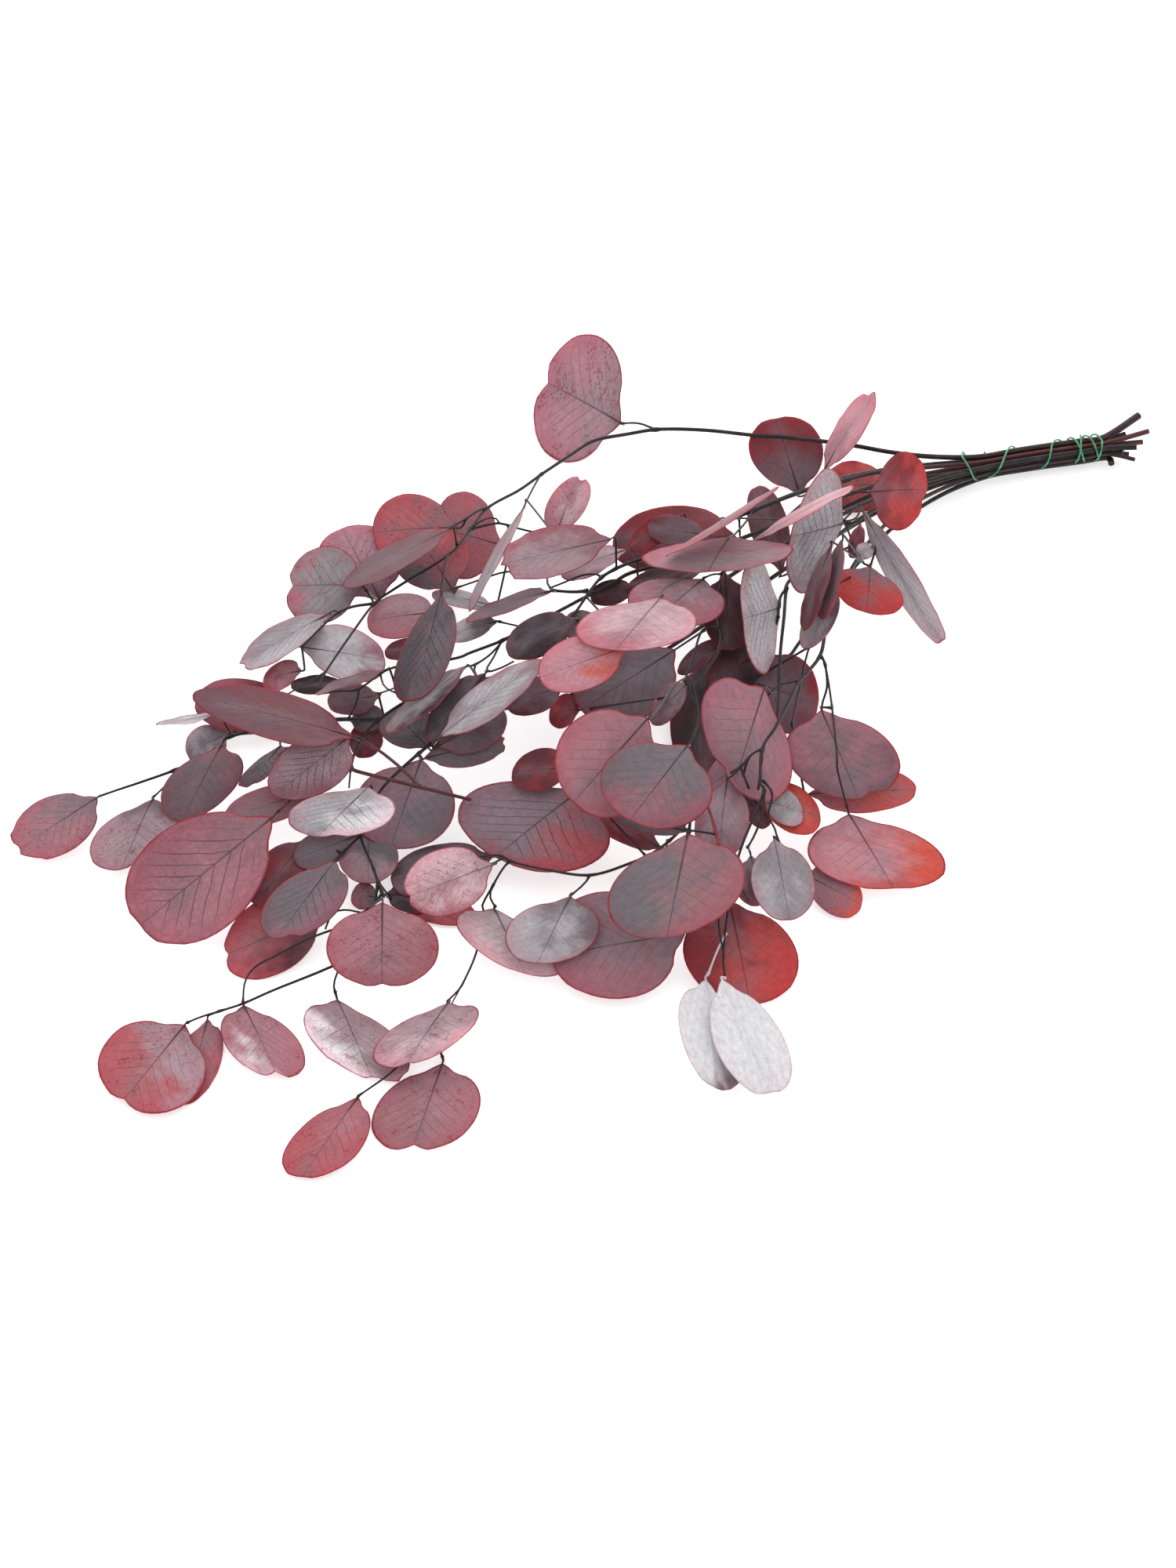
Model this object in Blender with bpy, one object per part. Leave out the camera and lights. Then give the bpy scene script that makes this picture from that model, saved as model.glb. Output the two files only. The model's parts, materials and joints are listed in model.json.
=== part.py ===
"""Bunch of preserved, dyed silver dollar eucalyptus stems tied with a wire, lying on a surface.

Ten leafy stems and one binding wire, each a node of its own. The leaves, twigs and leaf stalks of a
stem are fused to it.

The stems were traced on a board: a plane that faces the viewer through the middle of the bunch, with
u to the right and v up, in millimetres of real size. A traced point (u, v, h) is the point at the
height h above the surface on the line of sight through (u, v). Two things that don't overlap on the
board can't touch, and where two overlap, the one listed with more height lies nearer the viewer.
"""
import math

import bpy
import numpy as np

# The board and the eye.
VIEW_ELEVATION = math.radians(48.0)
EYE_DISTANCE = 1900.0
BOARD_HEIGHT = 45.0

# Driving dimensions, in millimetres.
LEAF_THICKNESS = 0.8
LEAF_BASE_WEDGE = 1.16
LEAF_NOTCH = 0.07
STALK_RADIUS = 0.55
LONGEST_LEAF = 76.0
WIRE_RADIUS = 0.6
WIRE_RING_RADIUS = 9.05
CLEARANCE = 2.4
LONG_AXIS_TURN = math.radians(-42.0)

# The long axis of the bunch lies along X, and the origin is under the middle of its box.
SHIFT_X = 77.13
SHIFT_Y = 41.9

BOARD_U = np.array([1.0, 0.0, 0.0])
BOARD_V = np.array([0.0, math.sin(VIEW_ELEVATION), math.cos(VIEW_ELEVATION)])
TO_VIEWER = np.array([0.0, -math.cos(VIEW_ELEVATION), math.sin(VIEW_ELEVATION)])
BOARD_CENTRE = np.array([0.0, 0.0, BOARD_HEIGHT])


def spot(u, v, nearness):
    """The point on the line of sight through (u, v), that many millimetres nearer than the board."""
    on_board = BOARD_CENTRE + u * BOARD_U + v * BOARD_V
    eye = BOARD_CENTRE + EYE_DISTANCE * TO_VIEWER
    return on_board + (eye - on_board) * (nearness / EYE_DISTANCE)


def nearness_at(v, h):
    """How far from the board, towards the viewer, the line of sight meets the height h."""
    climb = EYE_DISTANCE * math.sin(VIEW_ELEVATION) - v * math.cos(VIEW_ELEVATION)
    return EYE_DISTANCE * (h - BOARD_HEIGHT - v * math.cos(VIEW_ELEVATION)) / climb


def traced(points):
    """Traced (u, v, h) points as points in space."""
    return [spot(u, v, nearness_at(v, h)) for u, v, h in points]


# The bundle: stations along its middle, as (u, v, h, spread).
BUNDLE = [(264.0, 171.6, 9.65, 1.0), (250.0, 169.5, 9.65, 1.0), (222.0, 165.5, 9.65, 1.0), (200.0, 161.5, 11.0, 1.08),
          (172.0, 157.0, 14.5, 1.6), (150.0, 153.0, 19.0, 2.5)]

# Each stem's place in the bundle, as (back, up) from its middle.
PLACE = {"arch": (4.3, 3.7), "crown": (0.0, 3.7), "heart": (-4.3, 3.7),
         "mid": (5.5, 0.0), "low": (1.85, 0.0), "inner": (-1.85, 0.0), "right": (-5.5, 0.0),
         "left": (4.3, -3.7), "fan": (0.0, -3.7), "front": (-4.3, -3.7)}

# Each stem's cut end, as (u, v, h), and its radius there.
CUT_END = {"arch": ((281, 188, 15), 2.2), "crown": ((286, 180, 15), 1.5), "heart": ((280, 172, 15), 1.8),
           "mid": ((274, 178.5, 10), 1.6), "low": ((283, 174.5, 10.5), 1.5), "inner": ((273, 169.4, 10.9), 1.4),
           "right": ((279, 165.5, 11), 1.2), "left": ((268, 172, 6.5), 1.7), "fan": ((276, 168, 6), 1.6),
           "front": ((267, 163.5, 6), 1.9)}


def bundle_run(stem):
    """The stem's run from its cut end through the bundle."""
    back, up = PLACE[stem]
    middle = traced([station[:3] for station in BUNDLE])
    run = traced([CUT_END[stem][0]])
    for i, station in enumerate(BUNDLE):
        along = middle[min(i + 1, len(middle) - 1)] - middle[max(i - 1, 0)]
        across = np.array([along[1], -along[0], 0.0])
        across = across / np.linalg.norm(across)
        if across[1] < 0:
            across = -across
        spread = station[3]
        run.append(middle[i] + across * back * spread + np.array([0.0, 0.0, up * spread]))
    return run


# Stems and twigs: node, radius at the start, radius at the end, traced points.
# A stem's first line goes on from its run through the bundle.
TWIGS = [
    ("arch", 2.0, 0.55, [(140, 174.5, 27), (118, 176.5, 27), (100, 177, 26), (84, 178, 25), (60, 180.5, 23),
                         (37, 181, 21), (20, 178.5, 21), (3, 175, 23), (-10, 167, 26), (-23, 158.5, 30),
                         (-35, 150, 35), (-51, 141, 42), (-60, 130, 47), (-71, 117, 52), (-98, 100, 54),
                         (-109, 92, 54), (-119, 79, 54), (-134, 57, 54), (-137, 50, 54)]),
    ("arch", 0.7, 0.55, [(34, 181, 21), (26, 184, 19), (17, 184, 17)]),
    ("arch", 0.7, 0.55, [(-24, 158, 30), (-28, 151, 35), (-32, 143, 39)]),
    ("arch", 0.8, 0.5, [(-60, 130, 47), (-52, 132, 45), (-45, 133, 43), (-36, 130.5, 40), (-27, 128.5, 37),
                        (-18, 128, 35)]),
    ("arch", 0.5, 0.5, [(-60, 130.5, 47), (-54, 134.5, 48), (-48, 136, 47), (-45, 133, 43)]),
    ("arch", 0.55, 0.5, [(-27, 128.5, 37), (-32, 124, 37), (-38, 121.7, 38), (-44, 122, 38)]),
    ("arch", 0.7, 0.55, [(-51, 141, 42), (-56, 139.5, 46), (-63, 135, 50), (-70, 131, 53)]),
    ("arch", 0.6, 0.5, [(-71, 117, 52), (-72.5, 114, 55), (-74, 104, 60), (-75, 97, 62)]),
    ("arch", 0.55, 0.5, [(-109, 92, 54), (-112, 97, 52), (-115, 101.5, 49)]),
    ("arch", 0.8, 0.5, [(-109, 92, 54), (-120, 90.5, 55), (-128, 87, 55), (-134, 82, 54), (-146, 70, 50)]),
    ("arch", 0.5, 0.4, [(-134, 57, 54), (-141, 53, 52), (-153, 46, 49)]),
    ("mid", 1.8, 0.7, [(128, 158, 27), (110, 151, 35), (95, 144, 43), (80, 138, 50), (68, 132.5, 55),
                       (50, 122, 59), (35, 117, 61), (19, 112, 62), (7, 105.5, 62), (0, 97, 62), (-8, 86, 61),
                       (-22, 75, 58), (-36, 65, 54)]),
    ("mid", 0.6, 0.5, [(7, 105.5, 62), (4, 107, 62), (-3, 106.5, 61), (-13, 102.5, 59), (-20, 99.8, 57)]),
    ("mid", 1.0, 0.7, [(0, 98.5, 62), (-8, 98, 60), (-18, 98.7, 58)]),
    ("mid", 0.7, 0.5, [(-18, 98.7, 58), (-20.5, 102, 55), (-22, 107, 50), (-32, 109, 46), (-43, 108, 44),
                       (-50, 106, 43), (-60, 102.5, 43), (-69, 99.5, 43)]),
    ("mid", 0.7, 0.55, [(84, 139.5, 48), (80, 133, 54), (74, 126.5, 60)]),
    ("low", 1.7, 0.55, [(128, 148, 27), (110, 139, 34), (95, 132, 40), (75, 124, 46), (50, 115, 50), (30, 110, 52),
                        (20, 107, 52), (12, 102, 52), (4, 98, 52), (-4, 94, 52), (-21, 85, 52), (-32, 80, 52),
                        (-43, 73.5, 52), (-60, 67, 52), (-66, 64.5, 52), (-80, 62, 51), (-94, 60.5, 51),
                        (-104, 57.5, 51), (-117, 48.5, 51), (-126, 47.5, 50), (-137, 46.5, 49)]),
    ("low", 0.6, 0.5, [(-43, 73.5, 52), (-50, 66, 53), (-57.5, 61, 55), (-62, 60, 56)]),
    ("low", 0.6, 0.5, [(-44, 73, 52), (-48, 65, 53), (-52, 57.5, 54), (-45, 59, 53), (-38, 62.5, 50)]),
    ("low", 0.5, 0.5, [(-57.5, 61, 55), (-58, 58, 55), (-57, 55, 54)]),
    ("low", 0.5, 0.45, [(-33, 80, 52), (-42, 82, 51), (-47, 83.3, 50)]),
    ("low", 0.55, 0.5, [(-117, 48.5, 51), (-118, 42, 49), (-122.5, 33, 45)]),
    ("low", 0.5, 0.4, [(-106, 56.5, 51), (-104, 50, 49), (-98, 46.5, 49), (-91, 45.5, 50)]),
    ("low", 0.5, 0.4, [(-84, 61.5, 51), (-88, 57, 50), (-95, 50.5, 48), (-100, 48.5, 46), (-107, 46, 44)]),
    ("left", 1.8, 0.75, [(120, 140, 15), (90, 120, 21), (60, 98, 27), (30, 80, 31), (0, 67, 34), (-25, 59, 36),
                         (-50, 54, 38), (-70, 50, 41), (-90, 43.5, 44), (-107, 32.5, 44), (-117, 21, 42),
                         (-121, 8.5, 40)]),
    ("left", 0.7, 0.6, [(-121, 8.5, 40), (-125, 12.5, 40)]),
    ("left", 0.8, 0.65, [(-121, 8.5, 40), (-128, 6.5, 39), (-133, 3.5, 38), (-145, -2.5, 36), (-158, -14, 33)]),
    ("left", 0.5, 0.45, [(-121, 8.5, 40), (-122, -2, 37)]),
    ("left", 1.0, 0.9, [(-121, 8.5, 40), (-118, 6.5, 42), (-100, 2, 49), (-86, -1.5, 50), (-72, -5, 44),
                         (-60, -8, 36)]),
    ("left", 0.9, 0.8, [(-86, -1.5, 50), (-92, 5, 51), (-100, 12, 51), (-108, 18, 53), (-119, 24.5, 53)]),
    ("left", 1.2, 0.55, [(-107, 32.5, 44), (-125, 33, 39), (-150, 31, 33), (-182, 24.5, 28), (-188, 19, 28),
                         (-200, 12, 26), (-211, 7, 24), (-228, 1, 20), (-240, -3, 17), (-250, -6.5, 14)]),
    ("left", 0.55, 0.5, [(-211, 7, 24), (-213, 2, 21), (-222, -7, 18)]),
    ("fan", 1.7, 0.7, [(115, 122, 11), (80, 96, 16), (50, 75, 21), (20, 57, 25), (-10, 45, 29), (-40, 39, 34),
                       (-60, 33, 40), (-78, 22, 45), (-95, 8, 43), (-106, -3.5, 41), (-112, -15, 37),
                       (-116, -26, 34), (-110, -42, 31), (-104, -58, 28)]),
    ("fan", 0.7, 0.6, [(-116, -26, 34), (-123, -33, 33), (-129.5, -39.5, 32)]),
    ("fan", 0.9, 0.5, [(-107, -50, 29), (-112, -70, 22), (-125, -89, 14), (-134, -94.5, 12), (-160, -105, 10),
                       (-176, -112, 9), (-190, -116.5, 8), (-198, -119, 8), (-205, -122, 7)]),
    ("fan", 0.7, 0.5, [(-105, -56, 28), (-115, -66, 26), (-127, -73, 24), (-140, -78, 22), (-160, -88, 19),
                       (-170, -93.5, 16), (-175, -101, 12), (-176, -111, 9)]),
    ("fan", 0.55, 0.5, [(-125, -89, 14), (-129.5, -101, 11), (-129, -106, 9), (-128, -109.5, 8)]),
    ("fan", 0.5, 0.5, [(-115, -66, 26), (-121, -64.5, 26), (-127, -64.5, 25), (-131, -67, 23), (-134, -74, 22)]),
    ("front", 1.9, 0.7, [(130, 112, 10), (110, 80, 12), (90, 45, 15), (70, 10, 18), (50, -20, 22), (35, -34, 26),
                         (20, -41, 30), (1, -46.5, 33), (-20, -44, 36), (-38, -40, 38), (-45, -36.5, 38),
                         (-53, -37, 37), (-62, -37.5, 36)]),
    ("front", 0.6, 0.5, [(1, -46.5, 33), (-2, -51, 31), (-9, -57, 29)]),
    ("front", 0.6, 0.5, [(-43, -37.5, 38), (-49, -41, 41)]),
    ("front", 0.6, 0.5, [(-40, -39.5, 38), (-44, -44, 33), (-50, -56, 23), (-47, -63, 21)]),
    ("front", 0.6, 0.5, [(-48, -51, 27), (-54, -62, 19), (-53, -67, 15), (-57, -86, 10), (-63, -100, 9),
                         (-66, -105, 9), (-72, -111, 9)]),
    ("front", 0.4, 0.4, [(-64, -102, 9), (-69.5, -112, 8)]),
    ("front", 0.55, 0.5, [(-71, -110.5, 9), (-77, -125, 5), (-74, -141, 3.5)]),
    ("front", 0.6, 0.5, [(-77, -125, 5), (-86, -132, 6.5), (-96, -143, 8), (-104, -150, 7), (-117, -159, 3.5)]),
    ("heart", 1.7, 0.75, [(128, 140, 38), (105, 124, 46), (88, 116, 53), (72, 111, 58), (67, 101, 60), (66, 88, 61),
                          (68, 72, 62), (60, 57, 64), (54, 50.5, 65), (56, 40, 65), (55.5, 30, 65), (52, 20, 65)]),
    ("heart", 0.8, 0.6, [(67, 80, 61), (61, 80, 64), (57, 76, 66), (53, 62, 67), (50, 54, 67), (53, 46, 66),
                         (56, 40, 65)]),
    ("heart", 0.6, 0.5, [(50, 54, 67), (46, 52, 67), (42, 48, 67), (37, 40, 66), (32, 34, 65)]),
    ("heart", 0.6, 0.5, [(72, 111, 58), (58, 110, 67), (48, 105, 74), (38, 99, 79), (37, 95, 80)]),
    ("heart", 0.55, 0.5, [(70, 107, 59), (64, 107, 64), (59, 105, 67)]),
    ("heart", 0.8, 0.55, [(53, 24, 65), (55, 5, 58), (53, -12, 53), (51, -25, 50)]),
    ("heart", 0.7, 0.5, [(54, 0, 56), (52, -22, 42), (50, -50, 30), (50, -74, 24)]),
    ("heart", 0.8, 0.8, [(54.5, -5, 55), (60, -10, 57), (63, -17, 60), (67, -31, 66)]),
    ("right", 1.7, 0.65, [(138, 126, 30), (129, 108, 41), (128, 97, 46), (122, 84, 52), (119, 67, 59), (112, 57, 64),
                          (108, 53, 66), (104, 45, 68), (100, 37, 69), (95, 28, 70), (89, 18, 69), (88, 0, 66),
                          (90, -3, 65), (84, -18, 60), (78, -33, 54), (74, -48, 47), (72, -60, 40), (70, -75, 33),
                          (69, -90, 26), (70, -99, 22)]),
    ("right", 0.7, 0.55, [(119, 65, 60), (121, 61, 60), (122, 50, 59), (119.5, 41, 57), (119.5, 37.5, 57)]),
    ("right", 0.8, 0.6, [(121, 61, 60), (123, 50, 62), (125, 35, 64), (127, 15, 64), (127, 9, 62), (129, 0, 56),
                         (133, -15, 47)]),
    ("right", 0.7, 0.55, [(108, 53, 66), (104, 52, 67), (97, 50, 68), (91, 44, 68)]),
    ("right", 0.9, 0.55, [(125, 91, 49), (120, 82, 49), (113, 70, 50), (109, 54, 50), (106, 40, 49), (104, 31, 48)]),
    ("right", 0.8, 0.55, [(89, 18, 69), (84, 15.5, 69), (80, 11, 68), (74, 4.5, 65), (71, 2.5, 63)]),
    ("right", 0.7, 0.5, [(90, -3, 65), (89, -15, 61), (85, -26, 56), (81, -33, 52)]),
    ("right", 0.9, 0.6, [(89, 2, 66), (94, -5, 62), (92, -16, 58), (95, -22, 55), (97, -29, 51)]),
    ("right", 0.6, 0.5, [(70.5, -76, 32), (66, -85, 29), (61, -98, 22)]),
    ("right", 0.55, 0.5, [(72.5, -56, 42), (67, -64, 39), (67, -75, 34), (69.5, -88, 27)]),
    ("inner", 1.7, 0.9, [(128, 133, 28), (112, 116, 37), (103, 104, 43), (101, 98, 45), (100, 85, 48), (98, 65, 51),
                         (97, 40, 49), (95, 27, 45), (88, 12, 40), (80, 0, 34), (72, -15, 28)]),
    ("inner", 1.2, 1.0, [(101.5, 100, 45), (98, 95, 47), (97, 85, 48)]),
    ("crown", 1.6, 0.8, [(140, 160.5, 32), (128, 156, 36), (118, 150, 40), (108, 142, 44), (100, 135, 47)]),
    ("crown", 0.7, 0.55, [(122, 152, 39), (130, 149.5, 42), (136, 149, 43), (144, 149, 43)]),
    ("crown", 0.7, 0.55, [(112, 145.5, 42), (124, 137, 44), (131, 134, 45), (137, 136, 44), (139, 141, 43)]),
    ("crown", 0.6, 0.5, [(131, 134, 45), (135, 123, 45), (139, 114, 45), (144, 111, 44)]),
]

# Leaves: node, stalk end (u, v), tip (u, v), middle to one edge (u, v), height of the middle,
# facing (0 lies level, 1 faces the viewer), how much nearer the listed edge and the tip come.
LEAVES = [
    ("arch", (17, 184), (-24, 206), (12, 31), 16, 0.7, 0, 0),
    ("arch", (-17, 126), (-5, 157), (10.5, 0), 33, 1.0, 0, 0),
    ("arch", (-32, 143), (-59, 91.5), (4.5, 2.3), 49, 0.9, 16, 0),
    ("arch", (-44, 122), (-80, 131), (3, 22), 30, 0.6, 0, 0),
    ("arch", (-66, 131), (-110, 128), (-2, 18), 37, 0.6, 0, 0),
    ("arch", (-70, 130.5), (-122, 102), (3.5, -6.5), 59, 0.8, 15, 0),
    ("arch", (-106, 94), (-126, 131), (20, 8), 36, 0.6, 0, 0),
    ("arch", (-114, 101), (-154, 101), (3, 20), 42, 0.6, 0, 0),
    ("arch", (-131, 88), (-177, 60), (4.2, -7), 49, 0.8, 14, 0),
    ("arch", (-147, 70), (-103, 63), (2, -14.5), 45, 0.7, 0, 0),
    ("arch", (-76, 88), (-113, 83), (0, 11.5), 46, 0.8, 0, 0),
    ("arch", (-75, 97), (-89, 42), (14.5, 4), 63, 0.8, 0, 0),
    ("arch", (-80, 70), (-104, 67), (0, 5.5), 40, 0.6, 0, 0),
    ("arch", (-146, 58), (-166, 53), (1.5, 8), 40, 0.6, 0, 0),
    ("arch", (-48, 91), (-80, 97), (1, 4.5), 40, 0.4, 0, 0),
    ("mid", (-69, 99), (-88, 128), (17, 8), 43, 0.6, 0, 0),
    ("mid", (12, 125), (-44, 112), (-2, 12.5), 60, 0.8, 0, 0),
    ("mid", (20, 120), (-14, 106), (2, -6), 58, 0.7, 8, 0),
    ("mid", (-18.5, 99), (-60, 84.5), (-1.5, -4.5), 57, 0.8, 14, 0),
    ("mid", (10, 68), (-11, 86), (6, 7), 52, 0.7, 0, 0),
    ("mid", (-6, 84), (-42, 68), (-3, 10), 65, 0.7, 0, 0),
    ("mid", (-12, 50), (-42, 40), (-3, 9), 44, 0.6, 0, 0),
    ("mid", (20, 70), (-25, 54), (-5, 13), 68, 0.8, 0, 0),
    ("mid", (76, 126), (12, 124), (3, 17), 42, 0.6, 0, 0),
    ("mid", (48, 137), (21, 120), (-3, 6), 64, 0.7, 0, 0),
    ("mid", (62, 127), (30, 130), (-1, 8), 67, 0.7, 0, 0),
    ("mid", (72, 126), (61, 108), (38, 1), 72, -0.3, 0, 0),
    ("mid", (62, 111), (20, 101), (0, 6), 56, 0.5, 0, 0),
    ("mid", (24, 100), (1, 95), (-1, 6.5), 48, 0.6, 0, 0),
    ("low", (-46, 83), (-72, 76), (1, 6.5), 48, 0.7, 0, 0),
    ("low", (-103, 58.5), (-137, 47), (1, -2.4), 56, 0.8, 12, 0),
    ("low", (-106, 45), (-133, 41), (-2, 8), 43, 0.6, 0, 0),
    ("low", (-122, 33), (-104, 33), (1, 7), 39, 0.6, 0, 0),
    ("low", (-104, 28), (-121, 17), (-4, 8), 34, 0.6, 0, 0),
    ("low", (-122, 50), (-152, 50), (0, 5), 40, 0.5, 0, 0),
    ("low", (-62, 60), (-101, 28), (3.5, -5), 62, 0.8, 14, 0),
    ("low", (-52, 57), (-80, 24), (-8, 6), 58, 0.8, 0, 0),
    ("fan", (-84, 13), (-42, 22), (3, -9), 49, 0.7, 0, 0),
    ("fan", (-77, 19), (-42, 37), (6, -11), 54, 0.7, 0, 0),
    ("fan", (-76, 24), (-26, 61), (5.5, -7.5), 66, 0.8, 10, 0),
    ("fan", (-81, 18), (-101, 38), (-12, -6), 39, 0.7, 0, 0),
    ("left", (-119, 24), (-197, 44), (2, 12.5), 54, 0.9, -10, 0),
    ("left", (-148, 36), (-201, 43), (3, 14), 27, 0.7, 0, 0),
    ("left", (-190, 36), (-219, 31.5), (0.4, 2.2), 33, 0.8, 11, 0),
    ("left", (-183, 26), (-205, 15), (-4, 9), 23, 0.7, 0, 0),
    ("left", (-157, 20), (-172, -1), (11, 4), 25, 0.7, 0, 0),
    ("left", (-122, 24), (-160, -6), (13, -9), 45, 0.9, 0, 0),
    ("left", (-187, 20), (-207, -19), (19, 1), 26, 0.8, 0, 0),
    ("left", (-222, -7), (-238, -44), (20, 9), 16, 0.6, 0, 0),
    ("left", (-250, -6.5), (-291, -34), (-11, 11), 12, 0.6, 0, 0),
    ("left", (-161, -17), (-231, -74), (-19, 22), 32, 1.0, 0, 0),
    ("left", (-135, -2), (-186, -18), (-3, 9), 29, 0.7, 0, 0),
    ("fan", (-85, 13), (-101, -33), (25, -5), 31, 0.75, 0, 0),
    ("fan", (-112, -1.5), (-138, -27), (27, 3), 49, 0.9, 0, 0),
    ("fan", (-117, -26), (-150, -39), (-3, 9), 26, 0.7, 0, 0),
    ("fan", (-112, -22), (-112, -51), (15.5, 0), 22, 0.6, 0, 0),
    ("fan", (-129, -39), (-159, -79), (20, 5), 33, 0.9, 0, 0),
    ("fan", (-133, -66), (-186, -88), (3, -20), 14, 0.7, 0, 0),
    ("fan", (-143, -28), (-170, -62), (10, -6), 15, 0.5, 0, 0),
    ("fan", (-105, -60), (-105, -104), (29, 0), 32, 0.8, 0, 0),
    ("fan", (-107, -58), (-121, -57), (1, 7), 10, 0.5, 0, 0),
    ("fan", (-104, -56), (-78, -60), (2, 8), 10, 0.5, 0, 0),
    ("fan", (-205, -122), (-238, -163), (27, -8), 5, 0, 0, 0),
    ("fan", (-194, -119), (-205, -164), (13, 3), 1.5, 0, 0, 0),
    ("fan", (-176, -112), (-158, -150), (20, -1), 6, 0.2, 0, 0),
    ("fan", (-128, -109.5), (-110, -151), (26, -6), 3, 0.1, 0, 0),
    ("front", (-4, -3), (-48, -38), (-33, 17), 34, 0.7, 0, 0),
    ("front", (-48, -41), (-93, -58), (-6, 16), 44, 0.9, 0, 0),
    ("front", (-48, -37), (-101, -50), (-3, 13), 15, 0.5, 0, 0),
    ("fan", (-98, -60), (-57, -68), (2, 8), 5, 0.3, 0, 0),
    ("front", (38, -33), (0, -14), (-3, -7), 20, 0.5, 0, 0),
    ("front", (51, -24), (14, -16), (-1, -6), 29, 0.6, 0, 0),
    ("front", (-9, -57), (-26, -92), (23, -2), 22, 0.7, 0, 0),
    ("front", (-48, -63), (-32, -97), (27, -7), 14, 0.5, 0, 0),
    ("front", (-71, -111), (-93, -144), (25, 5), 10, 0.3, 0, 0),
    ("front", (-74, -142), (-90, -188), (27, 0), 0.4, 0, 0, 0),
    ("front", (-117, -159), (-147, -202), (20, 5), 0.4, 0, 0, 0),
    ("heart", (37, 95), (14, 68), (29, -2), 79, 0.8, 0, 0),
    ("heart", (59, 105), (33, 82), (22, -7), 70, 0.7, 0, 0),
    ("heart", (70, 108), (72, 68), (13, 0), 52, 0.7, 0, 0),
    ("heart", (31, 34), (-8, -10), (-20, 19), 66, 0.9, 0, 0),
    ("heart", (51, 20), (21, -19), (-25, 13), 70, 0.9, 0, 0),
    ("heart", (45, 69), (-4, 37), (14, -16), 46, 0.7, 0, 0),
    ("heart", (51, 52), (32, 31), (4, -6), 60, 0.8, 0, 0),
    ("heart", (68, 70), (46, 60), (3, 8), 38, 0.7, 0, 0),
    ("heart", (-4, 38), (-20, 36), (1, 9), 41, 0.6, 0, 0),
    ("heart", (-8, 8), (-39, 6), (2, 11), 36, 0.6, 0, 0),
    ("front", (62, 66), (58, 4), (18, 0), 6, 0.15, 0, 0),
    ("heart", (50, -76), (-20, -88), (-8, 27), 18, 0.6, 0, 0),
    ("heart", (51, -25), (40, -79), (35, 4), 50, 0.85, 0, 0),
    ("right", (91, 44), (72, -2), (21, -19), 60, 0.9, 0, 0),
    ("right", (84, 52), (118, 40), (3, 20), 43, 0.8, 0, 0),
    ("right", (119, 38), (138, -8), (28, 2), 52, 0.8, 0, 0),
    ("right", (112, -5), (168, -3), (1, 11), 38, 0.6, 0, 0),
    ("right", (71, 3), (66, -40), (14, 0), 40, 0.8, 0, 0),
    ("right", (133, -15), (157, -55), (34, 1), 36, 0.8, 0, 0),
    ("right", (110, -46), (140, -62), (-3, -12), 20, 0.6, 0, 0),
    ("right", (95, -28), (103, -70), (16, 2), 42, 0.8, 0, 0),
    ("right", (83, -36), (88, -62), (8, 0), 38, 0.7, 0, 0),
    ("right", (76, -46), (89, -61), (-5, -5), 34, 0.7, 0, 0),
    ("right", (88, -8), (110, -15), (-1, 10), 44, 0.7, 0, 0),
    ("right", (86, -8), (119, -17), (1, -13), 39, 0.6, 0, 0),
    ("right", (78, -4), (92, -22), (5, 4), 38, 0.7, 0, 0),
    ("right", (72, -59), (83, -113), (29, 1), 29, 0.7, 0, 0),
    ("right", (60, -99), (66, -156), (17, -6), 9, 0.3, 0, 0),
    ("right", (68, -99), (94, -160), (17.5, 2), 15, 0.4, 0, 0),
    ("inner", (98, 90), (78, 84), (3, -30), 62, 0.9, 0, 17),
    ("inner", (92, 70), (62, 50), (6, -16), 36, 0.6, 0, 0),
    ("front", (80, 10), (56, -5), (5, 16), 23, 0.5, 0, 0),
    ("crown", (108, 148), (95, 188), (18, 4), 21, 0.9, 0, 0),
    ("crown", (99, 108), (86, 152), (9.5, 3), 33, 0.5, 0, 0),
    ("crown", (120, 160), (146, 200), (6, -4), 42, 0.9, 14, 0),
    ("crown", (131, 133), (103, 126), (6, 32), 66, 0.8, 0, 16),
    ("crown", (124, 100), (113, 69), (9, 2), 56, 0.8, 0, 0),
    ("crown", (130, 125), (119, 84), (4.5, -2), 66, 0.9, 10, 0),
    ("crown", (124, 122), (110, 78), (4.5, -2), 72, 0.9, 10, 0),
    ("crown", (84, 124), (136, 152), (1.2, -2.6), 80, 0.8, 12, 0),
    ("crown", (70, 136), (68, 131), (28.5, 17.5), 77, 0.9, 0, 14),
    ("crown", (144, 149), (173, 150), (2, 20), 50, 0.8, 0, 0),
    ("fan", (155, 153), (120, 150), (-2, 13), 5, 0.1, 0, 0),
    ("crown", (139, 141), (182, 70), (5, 3), 50, 0.8, 10, 0),
    ("crown", (146, 121), (137, 117), (2, -4), 52, 0.7, 0, 0),
    ("crown", (139, 133), (135, 115), (4, 0), 39, 0.7, 0, 0),
    ("crown", (144, 111), (142, 87), (18, -5), 55, 0.8, 0, 0),
]

# The wire: stations along the bundle at each half turn, in u.
WIRE_HALF_TURNS = [262.5, 260.6, 258.7, 256.8, 254.9, 253.0, 251.1, 249.2, 247.3, 245.0, 239.0, 232.5, 222.0,
                   211.5, 205.0, 199.5, 195.0, 191.0]


OUTLINE_ANGLES = [32, 68, 105, 143, 180]


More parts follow.
